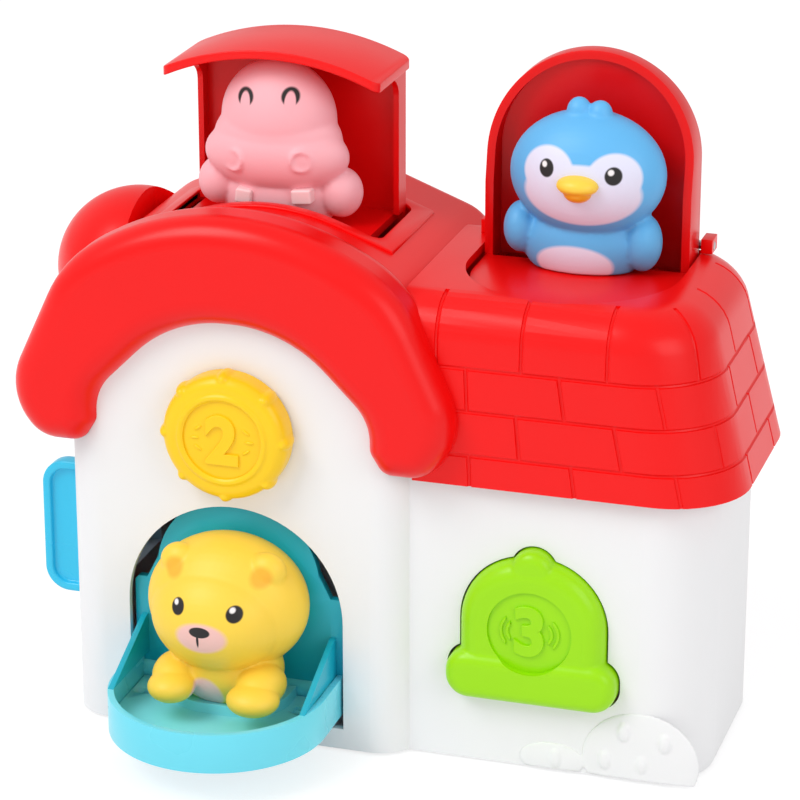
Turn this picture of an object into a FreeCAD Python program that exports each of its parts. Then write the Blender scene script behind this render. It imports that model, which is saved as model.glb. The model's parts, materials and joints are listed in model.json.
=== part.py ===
import FreeCAD, Part
import os
from math import acos, atan2, cos, radians, sin, tan
from types import SimpleNamespace

import Sketcher
from FreeCAD import Placement, Rotation, Vector

# Pop-up animal toy: a play house with three sprung animals and three controls.
# Millimetres, +Z up, the front faces -Y, the origin is on the ground below the middle of the body.

doc = FreeCAD.newDocument("pop_up_animal_toy")

# ---------------------------------------------------------------------------------------------
# Driving sizes
# ---------------------------------------------------------------------------------------------

SIZES = {
    # moulded shells
    "wall_thickness": 2.5,
    "roof_thickness": 3.0,
    "house_width": 125.0,
    "house_depth": 105.0,
    "house_corner": 14.0,
    "annex_width": 100.5,
    "annex_front_setback": 7.0,
    "annex_back_setback": 7.0,
    "annex_corner": 22.0,
    "annex_height": 103.2,
    "gable_wall_height": 138.0,
    "base_lip": 0.8,
    "foot_radius": 6.0,
    "foot_depth": 1.5,
    "foot_side_inset": 24.0,
    "foot_front_inset": 18.0,
    "annex_foot_side_inset": 34.0,
    "boss_radius": 4.0,
    "boss_height": 18.0,
    "boss_inset": 9.0,
    "screw_radius": 1.4,
    "screw_head_radius": 2.8,
    "screw_head_height": 1.6,
    "screw_sink": 0.5,
    # clearances
    "slide_gap": 0.4,
    "door_gap": 1.0,
    "hinge_gap": 0.06,
    "trim_gap": 0.3,
    # small offsets of hidden pieces
    "annex_join_round": 5.0,
    "boss_shift": 7.0,
    "screw_end_gap": 4.0,
    "lug_clearance": 1.5,
    "lug_foot": 6.0,
    "lug_wrap": 4.0,
    "pin_overrun": 8.0,
    "pin_bore_overrun": 5.0,
    "mouth_drop": 5.0,
    "mouth_headroom": 30.0,
    "hatch_corner": 4.0,
    "passage_inset": 4.0,
    "panel_step_run": 8.0,
    "panel_corner": 3.0,
    "lid_corner": 3.0,
    "flange_setback": 8.0,
    "flange_round": 6.0,
    "rail_setback": 6.0,
    "rail_headroom": 6.0,
    "shelf_setback": 4.0,
    "lift_spring_setback": 15.0,
    "rim_slope_foot": 10.0,
    "rim_top_width": 1.5,
    "cam_nose_round": 3.0,
    # main roof
    "eave_reach": 15.5,
    "eave_tip_height": 120.0,
    "eave_overhang": 8.0,
    "slope_top_half_width": 58.0,
    "slope_top_height": 165.0,
    "ridge_rise": 22.0,
    "ridge_radius": 75.0,
    "slope_round": 18.0,
    "eave_round": 9.0,
    "eave_drop": 15.0,
    "eave_inner_inset": 3.0,
    "roof_edge_round": 7.0,
    "gable_clearance": 3.0,
    "gable_shoulder": 12.0,
    # puffy roll along the front of the main roof
    "roll_reach": 19.5,
    "roll_tip_rise": 1.0,
    "roll_tip_round": 22.0,
    "roll_foot_round": 13.0,
    "roll_top_half_width": 59.0,
    "roll_top_rise": 5.5,
    "roll_ridge_rise": 32.0,
    "roll_ridge_radius": 90.0,
    "roll_shoulder_radius": 45.0,
    "roll_depth": 25.0,
    "roll_round": 9.0,
    "roll_lower_round": 6.0,
    # the roll's inner edge, a half-round arch that frames the white gable
    "gable_window_radius": 49.0,
    "gable_window_sink": 1.5,
    "gable_window_round": 46.0,
    "gable_window_side_round": 18.0,
    "gable_window_flare": 5.0,
    "gable_window_flare_rise": 8.0,
    "gable_window_flare_round": 5.0,
    # annex roof
    "annex_roof_overhang": 5.2,
    "annex_roof_top": 166.0,
    "annex_roof_side_overhang": 9.5,
    "annex_roof_inset": 4.0,
    "annex_roof_side_inset": 15.5,
    "annex_roof_seat": 1.0,
    "annex_roof_round": 8.0,
    # turret at the back of the left wall
    "turret_radius": 21.0,
    "turret_setback": 85.0,
    "turret_offset": 3.5,
    "turret_wall_height": 116.0,
    "turret_roof_radius": 29.5,
    "turret_roof_middle": 140.0,
    "turret_roof_rise": 29.0,
    # lion door
    "door_radius": 39.0,
    "door_recess": 3.0,
    "door_centre_height": 47.35,
    "door_sill_height": 8.3,
    "tray_lift": 4.7,
    "tray_depth": 14.0,
    "tray_wall": 2.2,
    "lion_panel_rise": 68.0,
    "lion_panel_half_width": 29.5,
    "lion_panel_shoulder": 33.5,
    "lion_panel_step": 55.0,
    "gusset_reach": 34.0,
    "gusset_rise": 14.0,
    "hinge_pin_radius": 1.5,
    "hinge_lug_thickness": 3.5,
    "tray_floor": 2.0,
    "lion_setback": 11.5,
    "pedestal_half_width": 21.0,
    "pedestal_reach": 23.0,
    "pedestal_height": 5.8,
    "pedestal_round": 16.0,
    "lion_spring_radius": 2.7,
    "lion_spring_room": 4.5,
    # hippo lift
    "hatch_half_width": 39.5,
    "hatch_front": 41.0,
    "hatch_depth": 39.0,
    "lift_travel": 54.0,
    "lift_panel": 3.0,
    "lid_sink": 5.5,
    "lid_crown": 8.6,
    "lift_flange": 5.0,
    "lift_floor_drop": 63.0,
    "lift_rail_radius": 2.5,
    "lift_rail_offset": 28.0,
    "hippo_setback": 14.0,
    "lift_shelf_height": 80.0,
    "lift_shelf_half_width": 38.0,
    "lift_shelf_flange": 20.0,
    "lift_shoe_half_width": 6.0,
    "lift_shoe_height": 12.0,
    # penguin hatch
    "penguin_offset": 42.5,
    "penguin_radius": 36.0,
    "penguin_hinge_depth": 84.0,
    "penguin_lid_rise": 67.6,
    "penguin_lid_thickness": 5.0,
    "penguin_rim_depth": 15.0,
    "penguin_floor_drop": 3.0,
    "penguin_floor_thickness": 2.2,
    "penguin_floor_gap": 0.5,
    "penguin_setback": 22.0,
    "penguin_barrel_radius": 3.2,
    "penguin_barrel_inset": 6.0,
    "penguin_spring_radius": 2.5,
    "penguin_spring_room": 4.0,
    "penguin_rim_wall": 3.0,
    "hinge_block_length": 4.0,
    "hinge_block_half_depth": 4.0,
    # twist knob
    "knob_height": 114.5,
    "knob_radius": 22.0,
    "knob_depth": 11.1,
    "knob_bump_radius": 3.0,
    "knob_bump_rise": 2.0,
    "knob_face_radius": 15.0,
    "knob_bumps_back": 2.0,
    "knob_rim": 1.8,
    "knob_recess_depth": 3.0,
    "knob_disc_sink": 1.2,
    "knob_shaft_radius": 5.0,
    "knob_shaft_reach": 20.0,
    "cam_depth": 13.0,
    "cam_radius": 9.0,
    "cam_thickness": 5.0,
    "cam_nose_half_width": 7.0,
    "cam_nose_reach": 17.0,
    # bell button
    "bell_offset": 42.0,
    "bell_base_height": 26.0,
    "bell_bar_height": 17.5,
    "bell_bar_half_width": 29.7,
    "bell_bar_round": 8.0,
    "bell_dome_half_width": 25.3,
    "bell_dome_top": 78.0,
    "bell_knob_radius": 7.5,
    "bell_disc_radius": 14.8,
    "bell_disc_height": 53.0,
    "bell_proud": 8.0,
    "bell_stem_radius": 4.0,
    "bell_stem_end": 30.0,
    "bell_flange": 2.0,
    "bell_window_gap": 0.6,
    "bell_disc_sink": 0.8,
    "bell_disc_thickness": 1.2,
    "bell_guide_depth": 22.0,
    "bell_guide_thickness": 4.0,
    "bell_guide_half_width": 12.0,
    # side slider
    "slider_front": 30.0,
    "slider_thickness": 6.0,
    "slider_reach": 21.0,
    "slider_bottom": 33.0,
    "slider_length": 50.0,
    "slider_travel": 16.0,
    "slider_slot_inset": 14.0,
    "slider_round": 9.0,
    "slider_inner_round": 3.0,
    "slider_rim": 3.0,
    "slider_dish": 2.0,
    "carriage_lip": 4.0,
    "carriage_thickness": 6.0,
    "slider_guide_thickness": 3.0,
    "slider_spring_room": 14.0,
    "slider_spring_radius": 2.4,
    # springs
    "spring_wire_radius": 0.6,
    "spring_pitch": 4.0,
    "lift_spring_radius": 7.0,
    "spring_clearance": 0.8,
    # how far a cutting block reaches past what it cuts
    "trim_reach": 50.0,
}

KNOB_BUMPS = 8
# Half of an octagon's side over the radius of the circle inside it
OCTAGON_HALF_SIDE = 0.4142

# Rounded masses of the figures: the middle across, behind and above the stand, then half sizes
FORM_SIZES = ("across", "behind", "above", "half_width", "half_depth", "half_height")
FORMS = {
    "lion_head": (0, 0, 33.5, 28.5, 24, 24.5),
    "lion_body": (0, -1, 11, 20, 14, 14),
    "lion_paw": (15, -18.5, 8, 8.7, 8.5, 5),
    "lion_ear": (16, -3, 49, 6.8, 6, 6.8),
    "hippo_head": (-1.6, 1, 37, 21, 13, 20),
    "hippo_snout": (-1.6, -2, 25, 26, 11, 14),
    "hippo_body": (-1.6, 2, 12, 25, 13, 16),
    "hippo_arm": (24, 0, 13, 7, 9, 9),
    "penguin_head": (1.8, 0, 34, 26.9, 18, 21.8),
    "penguin_body": (0, 2, 12, 21, 12, 18),
    "penguin_wing": (21, 0, 12, 6, 8, 12),
    "penguin_tuft": (2, -1, 57, 7, 4, 5),
}
for form_name, numbers in FORMS.items():
    SIZES.update({"%s_%s" % (form_name, part): number for part, number in zip(FORM_SIZES, numbers)})


class Size:
    """A length that carries both its number and its spreadsheet expression."""

    def __init__(self, value, text):
        self.value = value
        self.text = text

    def __add__(self, other):
        return combine(self, "+", other, self.value + sized(other).value)

    def __radd__(self, other):
        return sized(other) + self

    def __sub__(self, other):
        return combine(self, "-", other, self.value - sized(other).value)

    def __rsub__(self, other):
        return sized(other) - self

    def __mul__(self, other):
        return combine(self, "*", other, self.value * sized(other).value)

    def __rmul__(self, other):
        return self * other

    def __truediv__(self, other):
        return combine(self, "/", other, self.value / sized(other).value)

    def __neg__(self):
        return 0 - self


def sized(number):
    if isinstance(number, Size):
        return number
    return Size(float(number), "(%r)" % float(number))


def combine(left, sign, right, value):
    return Size(value, "(%s %s %s)" % (left.text, sign, sized(right).text))


sheet = doc.addObject("Spreadsheet::Sheet", "sizes")
for row, (alias, number) in enumerate(SIZES.items(), start=1):
    sheet.set("A%d" % row, alias)
    sheet.set("B%d" % row, str(number))
    sheet.setAlias("B%d" % row, alias)
doc.recompute()
S = SimpleNamespace(**{alias: Size(number, "sizes." + alias) for alias, number in SIZES.items()})

# ---------------------------------------------------------------------------------------------
# Modelling helpers: each adds one bound feature to the document
# ---------------------------------------------------------------------------------------------

ALONG = {
    "X": Rotation(Vector(0, 1, 0), 90),
    "Y": Rotation(Vector(1, 0, 0), -90),
    "Z": Rotation(),
}
PLANES = {
    "XY": (Rotation(), Vector(0, 0, 1)),
    "XZ": (Rotation(Vector(1, 0, 0), 90), Vector(0, 1, 0)),
    "YZ": (Rotation(Vector(1, 1, 1), 120), Vector(1, 0, 0)),
}
nodes = []


def node(name, feature):
    """Names a finished sub-part; its label is its file name."""
    feature.Label = name
    nodes.append(feature)
    return feature


def bind(feature, **sizes):
    for name, size in sizes.items():
        setattr(feature, name, sized(size).value)
        feature.setExpression(name, sized(size).text)
    return feature


def place(feature, spot, turn=None):
    spot = [sized(size) for size in spot]
    feature.Placement = Placement(Vector(*[size.value for size in spot]), turn or Rotation())
    for axis, size in zip("xyz", spot):
        feature.setExpression("Placement.Base." + axis, size.text)
    return feature


def box(low, high):
    feature = doc.addObject("Part::Box", "box")
    length, width, height = [top - bottom for bottom, top in zip(map(sized, low), map(sized, high))]
    bind(feature, Length=length, Width=width, Height=height)
    return place(feature, low)


def rod(axis, start, radius, length):
    feature = doc.addObject("Part::Cylinder", "rod")
    bind(feature, Radius=radius, Height=length)
    return place(feature, start, ALONG[axis])


def half_rod(axis, start, radius, length):
    """Half a cylinder: the front half of an upright one, the top half of a level one."""
    feature = doc.addObject("Part::Cylinder", "half_rod")
    feature.Angle = 180
    bind(feature, Radius=radius, Height=length)
    return place(feature, start, ALONG[axis] * Rotation(Vector(0, 0, 1), 180))


def ball(centre, half_x, half_y, half_z):
    feature = doc.addObject("Part::Ellipsoid", "ball")
    bind(feature, Radius1=half_z, Radius2=half_x, Radius3=half_y)
    return place(feature, centre)


def corner_arc(before, corner, after, radius):
    """Tangent points, centre and turning direction of a rounded corner, for the sketch's seed."""
    into = (corner - before).normalize()
    out = (after - corner).normalize()
    turn = acos(max(-1.0, min(1.0, into.dot(out))))
    reach = radius * tan(turn / 2)
    left = into.x * out.y - into.y * out.x > 0
    side = 1 if left else -1
    start = corner - into * reach
    end = corner + out * reach
    centre = start + Vector(-into.y, into.x, 0) * (side * radius)
    return start, end, centre, left


def outline(plane, corners, start):
    """Closed sketch through corners given as (x, y) or (x, y, corner radius)."""
    turn, normal = PLANES[plane]
    sketch = doc.addObject("Sketcher::SketchObject", "outline")
    spot = [0, 0, 0]
    spot["XYZ".index({"XY": "Z", "XZ": "Y", "YZ": "X"}[plane])] = start
    place(sketch, spot, turn)
    corners = [[sized(part) for part in corner] for corner in corners]
    count = len(corners)
    points = [Vector(corner[0].value, corner[1].value, 0) for corner in corners]
    rounds = {}
    for index, corner in enumerate(corners):
        if len(corner) == 3:
            before, after = points[index - 1], points[(index + 1) % count]
            rounds[index] = corner_arc(before, points[index], after, corner[2].value)
    for index in range(count):
        following = (index + 1) % count
        first = rounds[index][1] if index in rounds else points[index]
        last = rounds[following][0] if following in rounds else points[following]
        sketch.addGeometry(Part.LineSegment(first, last), False)
    for index, corner in enumerate(corners):
        incoming = (index - 1) % count
        if index in rounds:
            first, last, centre, left = rounds[index]
            if not left:
                first, last = last, first
            angles = [atan2(point.y - centre.y, point.x - centre.x) for point in (first, last)]
            circle = Part.Circle(centre, Vector(0, 0, 1), corner[2].value)
            arc = sketch.addGeometry(Part.ArcOfCircle(circle, *angles), False)
            mark = sketch.addGeometry(Part.Point(points[index]), True)
            entry, leave = (1, 2) if left else (2, 1)
            sketch.addConstraint(Sketcher.Constraint("PointOnObject", mark, 1, incoming))
            sketch.addConstraint(Sketcher.Constraint("PointOnObject", mark, 1, index))
            sketch.addConstraint(Sketcher.Constraint("Tangent", incoming, 2, arc, entry))
            sketch.addConstraint(Sketcher.Constraint("Tangent", index, 1, arc, leave))
            radius = sketch.addConstraint(Sketcher.Constraint("Radius", arc, corner[2].value))
            sketch.setExpression("Constraints[%d]" % radius, corner[2].text)
            locked = (mark, 1)
        else:
            sketch.addConstraint(Sketcher.Constraint("Coincident", incoming, 2, index, 1))
            locked = (index, 1)
        for kind, size in zip(("DistanceX", "DistanceY"), corner):
            fixed = sketch.addConstraint(Sketcher.Constraint(kind, -1, 1, *locked, size.value))
            sketch.setExpression("Constraints[%d]" % fixed, size.text)
    return sketch, normal


def slab(plane, corners, start, thickness, grow=None):
    """An outline pushed along its plane's axis; grow moves the outline out (or in) first."""
    base, normal = outline(plane, corners, start)
    if grow is not None:
        wider = doc.addObject("Part::Offset2D", "wider")
        wider.Source = base
        wider.Join = "Intersection"
        bind(wider, Value=grow)
        base = wider
    feature = doc.addObject("Part::Extrusion", "slab")
    feature.Base = base
    feature.DirMode = "Custom"
    feature.Dir = normal
    feature.Solid = True
    return bind(feature, LengthFwd=thickness)


def tapered(lower, upper, low, high):
    """A block whose plan changes evenly from a lower to an upper outline."""
    feature = doc.addObject("Part::Loft", "tapered")
    feature.Sections = [outline("XY", lower, low)[0], outline("XY", upper, high)[0]]
    feature.Solid = True
    feature.Ruled = True
    return feature


def fuse(*parts):
    feature = doc.addObject("Part::MultiFuse", "joined")
    feature.Shapes = list(parts)
    feature.Refine = True
    return feature


def cut(base, *tools):
    feature = doc.addObject("Part::Cut", "trimmed")
    feature.Base = base
    feature.Tool = tools[0] if len(tools) == 1 else fuse(*tools)
    feature.Refine = True
    return feature


def common(first, second):
    feature = doc.addObject("Part::Common", "shared")
    feature.Base = first
    feature.Tool = second
    feature.Refine = True
    return feature


def mass(name, middle, side=1):
    """One rounded mass of a figure, placed from its stand's middle; side -1 puts it on the left."""
    across, behind, above, *halves = [getattr(S, "%s_%s" % (name, part)) for part in FORM_SIZES]
    x, y, z = middle
    return ball((x + side * across, y + behind, z + above), *halves)


def pair(name, middle):
    """The same mass on both sides of a figure."""
    return [mass(name, middle, side) for side in (-1, 1)]


def block_below(middle):
    """A block under a figure, which trims it level with its stand."""
    x, y, z = middle
    reach = S.trim_reach
    return box((x - reach, y - reach, z - reach), (x + reach, y + reach, z))


def block_behind(middle, plane):
    """A block behind a figure, which trims it flat against its back panel."""
    x, y, z = middle
    reach = S.trim_reach
    return box((x - reach, plane, z - reach), (x + reach, plane + reach, z + 2 * reach))


def soften(base, radius, chosen):
    """Rounds the edges of a feature that chosen(edge) picks."""
    doc.recompute()
    feature = doc.addObject("Part::Fillet", "softened")
    feature.Base = base
    picked = [index for index, edge in enumerate(base.Shape.Edges, start=1) if chosen(edge)]
    feature.Edges = [(index, sized(radius).value, sized(radius).value) for index in picked]
    return feature


def group(*parts):
    """Loose solids of one kind that share a node."""
    feature = doc.addObject("Part::Compound", "set")
    feature.Links = list(parts)
    return feature


def coil(axis, start, radius, height):
    """A round-wire compression or torsion spring."""
    spine = doc.addObject("Part::Helix", "coil_line")
    bind(spine, Pitch=S.spring_pitch, Height=height, Radius=radius)
    ring = doc.addObject("Part::Circle", "wire_section")
    bind(ring, Radius=S.spring_wire_radius)
    ring.Placement = Placement(Vector(sized(radius).value, 0, 0), Rotation(Vector(1, 0, 0), 90))
    ring.setExpression("Placement.Base.x", sized(radius).text)
    feature = doc.addObject("Part::Sweep", "coil")
    feature.Sections = [ring]
    feature.Spine = (spine, [])
    feature.Solid = True
    feature.Frenet = True
    return place(feature, start, ALONG[axis])


# ---------------------------------------------------------------------------------------------
# Places that the pieces share
# ---------------------------------------------------------------------------------------------

house_x = -S.annex_width / 2
house_left = house_x - S.house_width / 2
house_right = house_x + S.house_width / 2
annex_right = house_right + S.annex_width
front = -S.house_depth / 2
back = S.house_depth / 2
annex_front = front + S.annex_front_setback
annex_back = back - S.annex_back_setback
floor_top = S.base_lip + S.wall_thickness
roof_front = front - S.eave_overhang
ridge_height = S.slope_top_height + S.ridge_rise
eave_bottom = S.eave_tip_height - S.eave_drop
above_all = ridge_height + S.trim_reach

# ---------------------------------------------------------------------------------------------
# White body: front and rear shells, base plate, feet and screws
# ---------------------------------------------------------------------------------------------


def rounded_plan(left, right, low, high, left_round, right_round):
    return [
        (left, low, left_round),
        (right, low, right_round),
        (right, high, right_round),
        (left, high, left_round),
    ]


def house_plan(inset):
    corner = S.house_corner - inset
    return rounded_plan(
        house_left + inset, house_right - inset, front + inset, back - inset, corner, corner
    )


def annex_plan(inset):
    """The annex reaches into the house, so that the two blocks become one body."""
    return rounded_plan(
        house_x,
        annex_right - inset,
        annex_front + inset,
        annex_back - inset,
        S.annex_join_round,
        S.annex_corner - inset,
    )


gable_inset = S.roof_thickness + S.wall_thickness + S.gable_clearance
gable_profile = [
    (house_left, S.base_lip),
    (house_right, S.base_lip),
    (house_right, S.gable_wall_height),
    (house_right - S.gable_shoulder, S.slope_top_height - gable_inset),
    (house_x, ridge_height - gable_inset - S.gable_clearance),
    (house_left + S.gable_shoulder, S.slope_top_height - gable_inset),
    (house_left, S.gable_wall_height),
]
house_block = common(
    slab("XY", house_plan(sized(0)), S.base_lip, ridge_height),
    slab("XZ", gable_profile, front, S.house_depth),
)
annex_block = slab("XY", annex_plan(sized(0)), S.base_lip, S.annex_height - S.base_lip)
house_hollow = slab("XY", house_plan(S.wall_thickness), 0, above_all)
annex_hollow = slab("XY", annex_plan(S.wall_thickness), 0, S.annex_height + 1)

boss_spots = [
    (house_left + S.boss_inset, front + S.boss_inset),
    (house_left + S.boss_inset, back - S.boss_inset),
    (annex_right - S.boss_inset - S.boss_shift, annex_front + S.boss_inset + S.boss_shift),
    (annex_right - S.boss_inset - S.boss_shift, annex_back - S.boss_inset - S.boss_shift),
    (house_right, annex_front + S.boss_inset),
    (house_right, annex_back - S.boss_inset),
]


def bosses(spots):
    posts = [rod("Z", (x, y, floor_top), S.boss_radius, S.boss_height) for x, y in spots]
    webs = []
    for x, y in spots:
        towards = front if y.value < 0 else back
        web_low, web_high = (towards + 1, y) if y.value < 0 else (y, towards - 1)
        webs.append(box((x - 1, web_low, floor_top), (x + 1, web_high, floor_top + S.boss_height)))
    body = fuse(*posts, *webs)
    inside = fuse(
        slab("XY", house_plan(sized(1)), 0, above_all),
        slab("XY", annex_plan(sized(1)), 0, above_all),
    )
    holes = [rod("Z", (x, y, floor_top - 1), S.screw_radius, S.boss_height - 1) for x, y in spots]
    return cut(common(body, inside), *holes)


door_spring_line = S.door_centre_height


def arch(half_width, low, spring_line, middle, start, thickness):
    """A doorway shape: a straight-sided foot with a half-round top."""
    foot = box((middle - half_width, start, low), (middle + half_width, start + thickness, spring_line))
    top = half_rod("Y", (middle, start, spring_line), half_width, thickness)
    return fuse(foot, top)


doorway = arch(
    S.door_radius, S.door_sill_height, door_spring_line, house_x, front - 1, S.wall_thickness + 2
)
knob_bore = rod(
    "Y",
    (house_x, front - 1, S.knob_height),
    S.knob_shaft_radius + S.slide_gap,
    S.wall_thickness + 2,
)
bell_x = house_right + S.bell_offset


def bell_form(start, thickness, grow):
    """The button's outline: a round-ended bar, a domed bell and a round knob on top."""
    grow = sized(grow)
    bar_low = S.bell_base_height - grow
    bar_high = S.bell_base_height + S.bell_bar_height + grow
    bar_end = S.bell_bar_half_width + grow
    bar = slab(
        "XZ",
        [
            (bell_x - bar_end, bar_low, S.bell_bar_round),
            (bell_x + bar_end, bar_low, S.bell_bar_round),
            (bell_x + bar_end, bar_high, S.bell_bar_round),
            (bell_x - bar_end, bar_high, S.bell_bar_round),
        ],
        start,
        thickness,
    )
    dome_end = S.bell_dome_half_width + grow
    dome_top = S.bell_dome_top + grow
    dome = slab(
        "XZ",
        [
            (bell_x - dome_end, S.bell_base_height + S.bell_bar_round),
            (bell_x + dome_end, S.bell_base_height + S.bell_bar_round),
            (bell_x + dome_end, dome_top, dome_end - 1),
            (bell_x - dome_end, dome_top, dome_end - 1),
        ],
        start,
        thickness,
    )
    top_knob = rod(
        "Y",
        (bell_x, start, S.bell_dome_top - S.bell_knob_radius / 2),
        S.bell_knob_radius + grow,
        thickness,
    )
    return fuse(bar, dome, top_knob)


bell_window = bell_form(annex_front - 1, S.wall_thickness + 2, S.bell_window_gap)

slider_low = S.slider_bottom + S.slider_slot_inset
slider_high = S.slider_bottom + S.slider_length - S.slider_slot_inset
slider_y = front + S.slider_front
slider_slot = box(
    (house_left - 1, slider_y - S.slide_gap, slider_low - S.slide_gap),
    (
        house_left + S.wall_thickness + 1,
        slider_y + S.slider_thickness + S.slider_travel + S.slide_gap,
        slider_high + S.slide_gap,
    ),
)

lion_hinge_y = front + S.door_recess + S.tray_depth / 2
lion_hinge_z = S.door_sill_height + S.tray_lift + S.tray_depth / 2
lug_inner = S.door_radius + S.lug_clearance


def lion_lug(side):
    edges = sorted(
        (house_x + side * lug_inner, house_x + side * (lug_inner + S.hinge_lug_thickness)),
        key=lambda size: size.value,
    )
    return box(
        (edges[0], front + 1, lion_hinge_z - S.lug_foot),
        (edges[1], lion_hinge_y + S.lug_wrap, lion_hinge_z + S.lug_wrap),
    )


hinge_pin_bore = rod(
    "X",
    (house_x - lug_inner - S.pin_overrun, lion_hinge_y, lion_hinge_z),
    S.hinge_pin_radius,
    2 * (lug_inner + S.pin_overrun),
)

body_block = cut(fuse(house_block, annex_block), house_hollow, annex_hollow)
front_half = box((house_left - 1, front - 1, 0), (annex_right + 1, 0, above_all))
rear_half = box((house_left - 1, 0, 0), (annex_right + 1, back + 1, above_all))

front_walls = cut(
    common(body_block, front_half), doorway, knob_bore, bell_window, slider_slot
)
front_shell = node(
    "front_shell",
    cut(
        fuse(
            front_walls,
            bosses([boss_spots[0], boss_spots[2], boss_spots[4]]),
            lion_lug(-1),
            lion_lug(1),
        ),
        hinge_pin_bore,
    ),
)
rear_walls = cut(common(body_block, rear_half), slider_slot)
node("rear_shell", fuse(rear_walls, bosses([boss_spots[1], boss_spots[3], boss_spots[5]])))

base_inset = S.wall_thickness + S.trim_gap
base_sheet = fuse(
    slab("XY", house_plan(base_inset), 0, floor_top),
    slab("XY", annex_plan(base_inset), 0, floor_top),
)
screw_holes = [
    rod("Z", (x, y, 0), S.screw_radius + S.trim_gap, floor_top + 1) for x, y in boss_spots
]
head_sinks = [
    rod("Z", (x, y, 0), S.screw_head_radius + S.trim_gap, S.screw_sink + S.screw_head_height)
    for x, y in boss_spots
]

foot_spots = [
    (house_left + S.foot_side_inset, front + S.foot_front_inset),
    (house_left + S.foot_side_inset, back - S.foot_front_inset),
    (annex_right - S.annex_foot_side_inset, annex_front + S.foot_front_inset),
    (annex_right - S.annex_foot_side_inset, annex_back - S.foot_front_inset),
]
pads = [rod("Z", (x, y, 0), S.foot_radius, S.foot_depth) for x, y in foot_spots]
node("base_plate", cut(base_sheet, *screw_holes, *head_sinks, *pads))
node("rubber_feet", group(*pads))

screws = []
for x, y in boss_spots:
    head = rod("Z", (x, y, S.screw_sink), S.screw_head_radius, S.screw_head_height)
    shank = rod("Z", (x, y, S.screw_sink + 1), S.screw_radius, S.boss_height - S.screw_end_gap)
    screws.append(fuse(head, shank))
node("case_screws", group(*screws))

# ---------------------------------------------------------------------------------------------
# Red roofs
# ---------------------------------------------------------------------------------------------


def gable_path(
    reach, tip_height, tip_round, top_half_width, top_height, shoulder, ridge, ridge_round
):
    """Outer edge of a roof section from the right eave over the ridge to the left eave."""
    tip = S.house_width / 2 + reach
    right = [
        (tip, tip_height, tip_round),
        (top_half_width, top_height, shoulder),
    ]
    path = [(house_x + across, height, turn) for across, height, turn in right]
    path.append((house_x, ridge, ridge_round))
    path += [(house_x - across, height, turn) for across, height, turn in right[::-1]]
    return path


def eave_foot(side, inner, reach, foot_round):
    """The level underside of an eave, listed from the wall outwards."""
    return [
        (house_x + side * inner, eave_bottom),
        (house_x + side * (S.house_width / 2 + reach - foot_round), eave_bottom, foot_round),
    ]


roof_profile = (
    eave_foot(1, S.house_width / 2 - S.eave_inner_inset, S.eave_reach, S.eave_round)
    + gable_path(
        S.eave_reach,
        S.eave_tip_height,
        S.eave_round,
        S.slope_top_half_width,
        S.slope_top_height,
        S.slope_round,
        ridge_height,
        S.ridge_radius,
    )
    + eave_foot(-1, S.house_width / 2 - S.eave_inner_inset, S.eave_reach, S.eave_round)[::-1]
)
roll_top = S.slope_top_height + S.roll_top_rise
roll_path = gable_path(
    S.roll_reach,
    S.eave_tip_height + S.roll_tip_rise,
    S.roll_tip_round,
    S.roll_top_half_width,
    roll_top,
    S.roll_shoulder_radius,
    roll_top + S.roll_ridge_rise,
    S.roll_ridge_radius,
)
# The arch is half of an octagon whose corners are rounded until it looks like a half circle
window_middle = eave_bottom - S.gable_window_sink
window_top = window_middle + S.gable_window_radius
window_turn = S.gable_window_radius * OCTAGON_HALF_SIDE
window_foot = S.gable_window_radius + S.gable_window_flare
window_half = [
    (window_foot, eave_bottom, S.roll_lower_round),
    (S.gable_window_radius, eave_bottom + S.gable_window_flare_rise, S.gable_window_flare_round),
    (S.gable_window_radius, window_middle + window_turn, S.gable_window_side_round),
    (window_turn, window_top, S.gable_window_round),
]
window_path = [(house_x - half, *rest) for half, *rest in window_half]
window_path += [(house_x + half, *rest) for half, *rest in window_half[::-1]]
roll_profile = (
    eave_foot(1, window_foot, S.roll_reach, S.roll_foot_round)
    + roll_path
    + eave_foot(-1, window_foot, S.roll_reach, S.roll_foot_round)[::-1]
)
roll_back = roof_front + S.roll_depth
main_back = back + S.eave_overhang


def roof_form(start, length, grow=None):
    return slab("XZ", roof_profile, start, length, grow)


def roll_form(start, length, grow=None):
    return slab("XZ", roll_profile, start, length, grow)


def end_edges(plane):
    """Picks the edges that lie in the plane Y = plane."""
    return lambda edge: (
        edge.BoundBox.YLength < 0.01 and abs(edge.BoundBox.YMin - plane.value) < 0.01
    )


slope_start = roll_back - S.roof_thickness
slopes = soften(
    roof_form(slope_start, main_back - slope_start), S.roof_edge_round, end_edges(main_back)
)
roll_arch = slab("XZ", roll_profile[1:-1] + window_path, roof_front, S.roll_depth)


def roll_rim(edge):
    """All of the roll's front rim and the outer part of its rear rim."""
    middle = edge.BoundBox.Center
    outside = abs(middle.x - house_x.value) > window_foot.value
    outer = outside or middle.z > (window_top + S.roll_round).value
    return end_edges(roof_front)(edge) or (outer and end_edges(roll_back)(edge))


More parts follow.
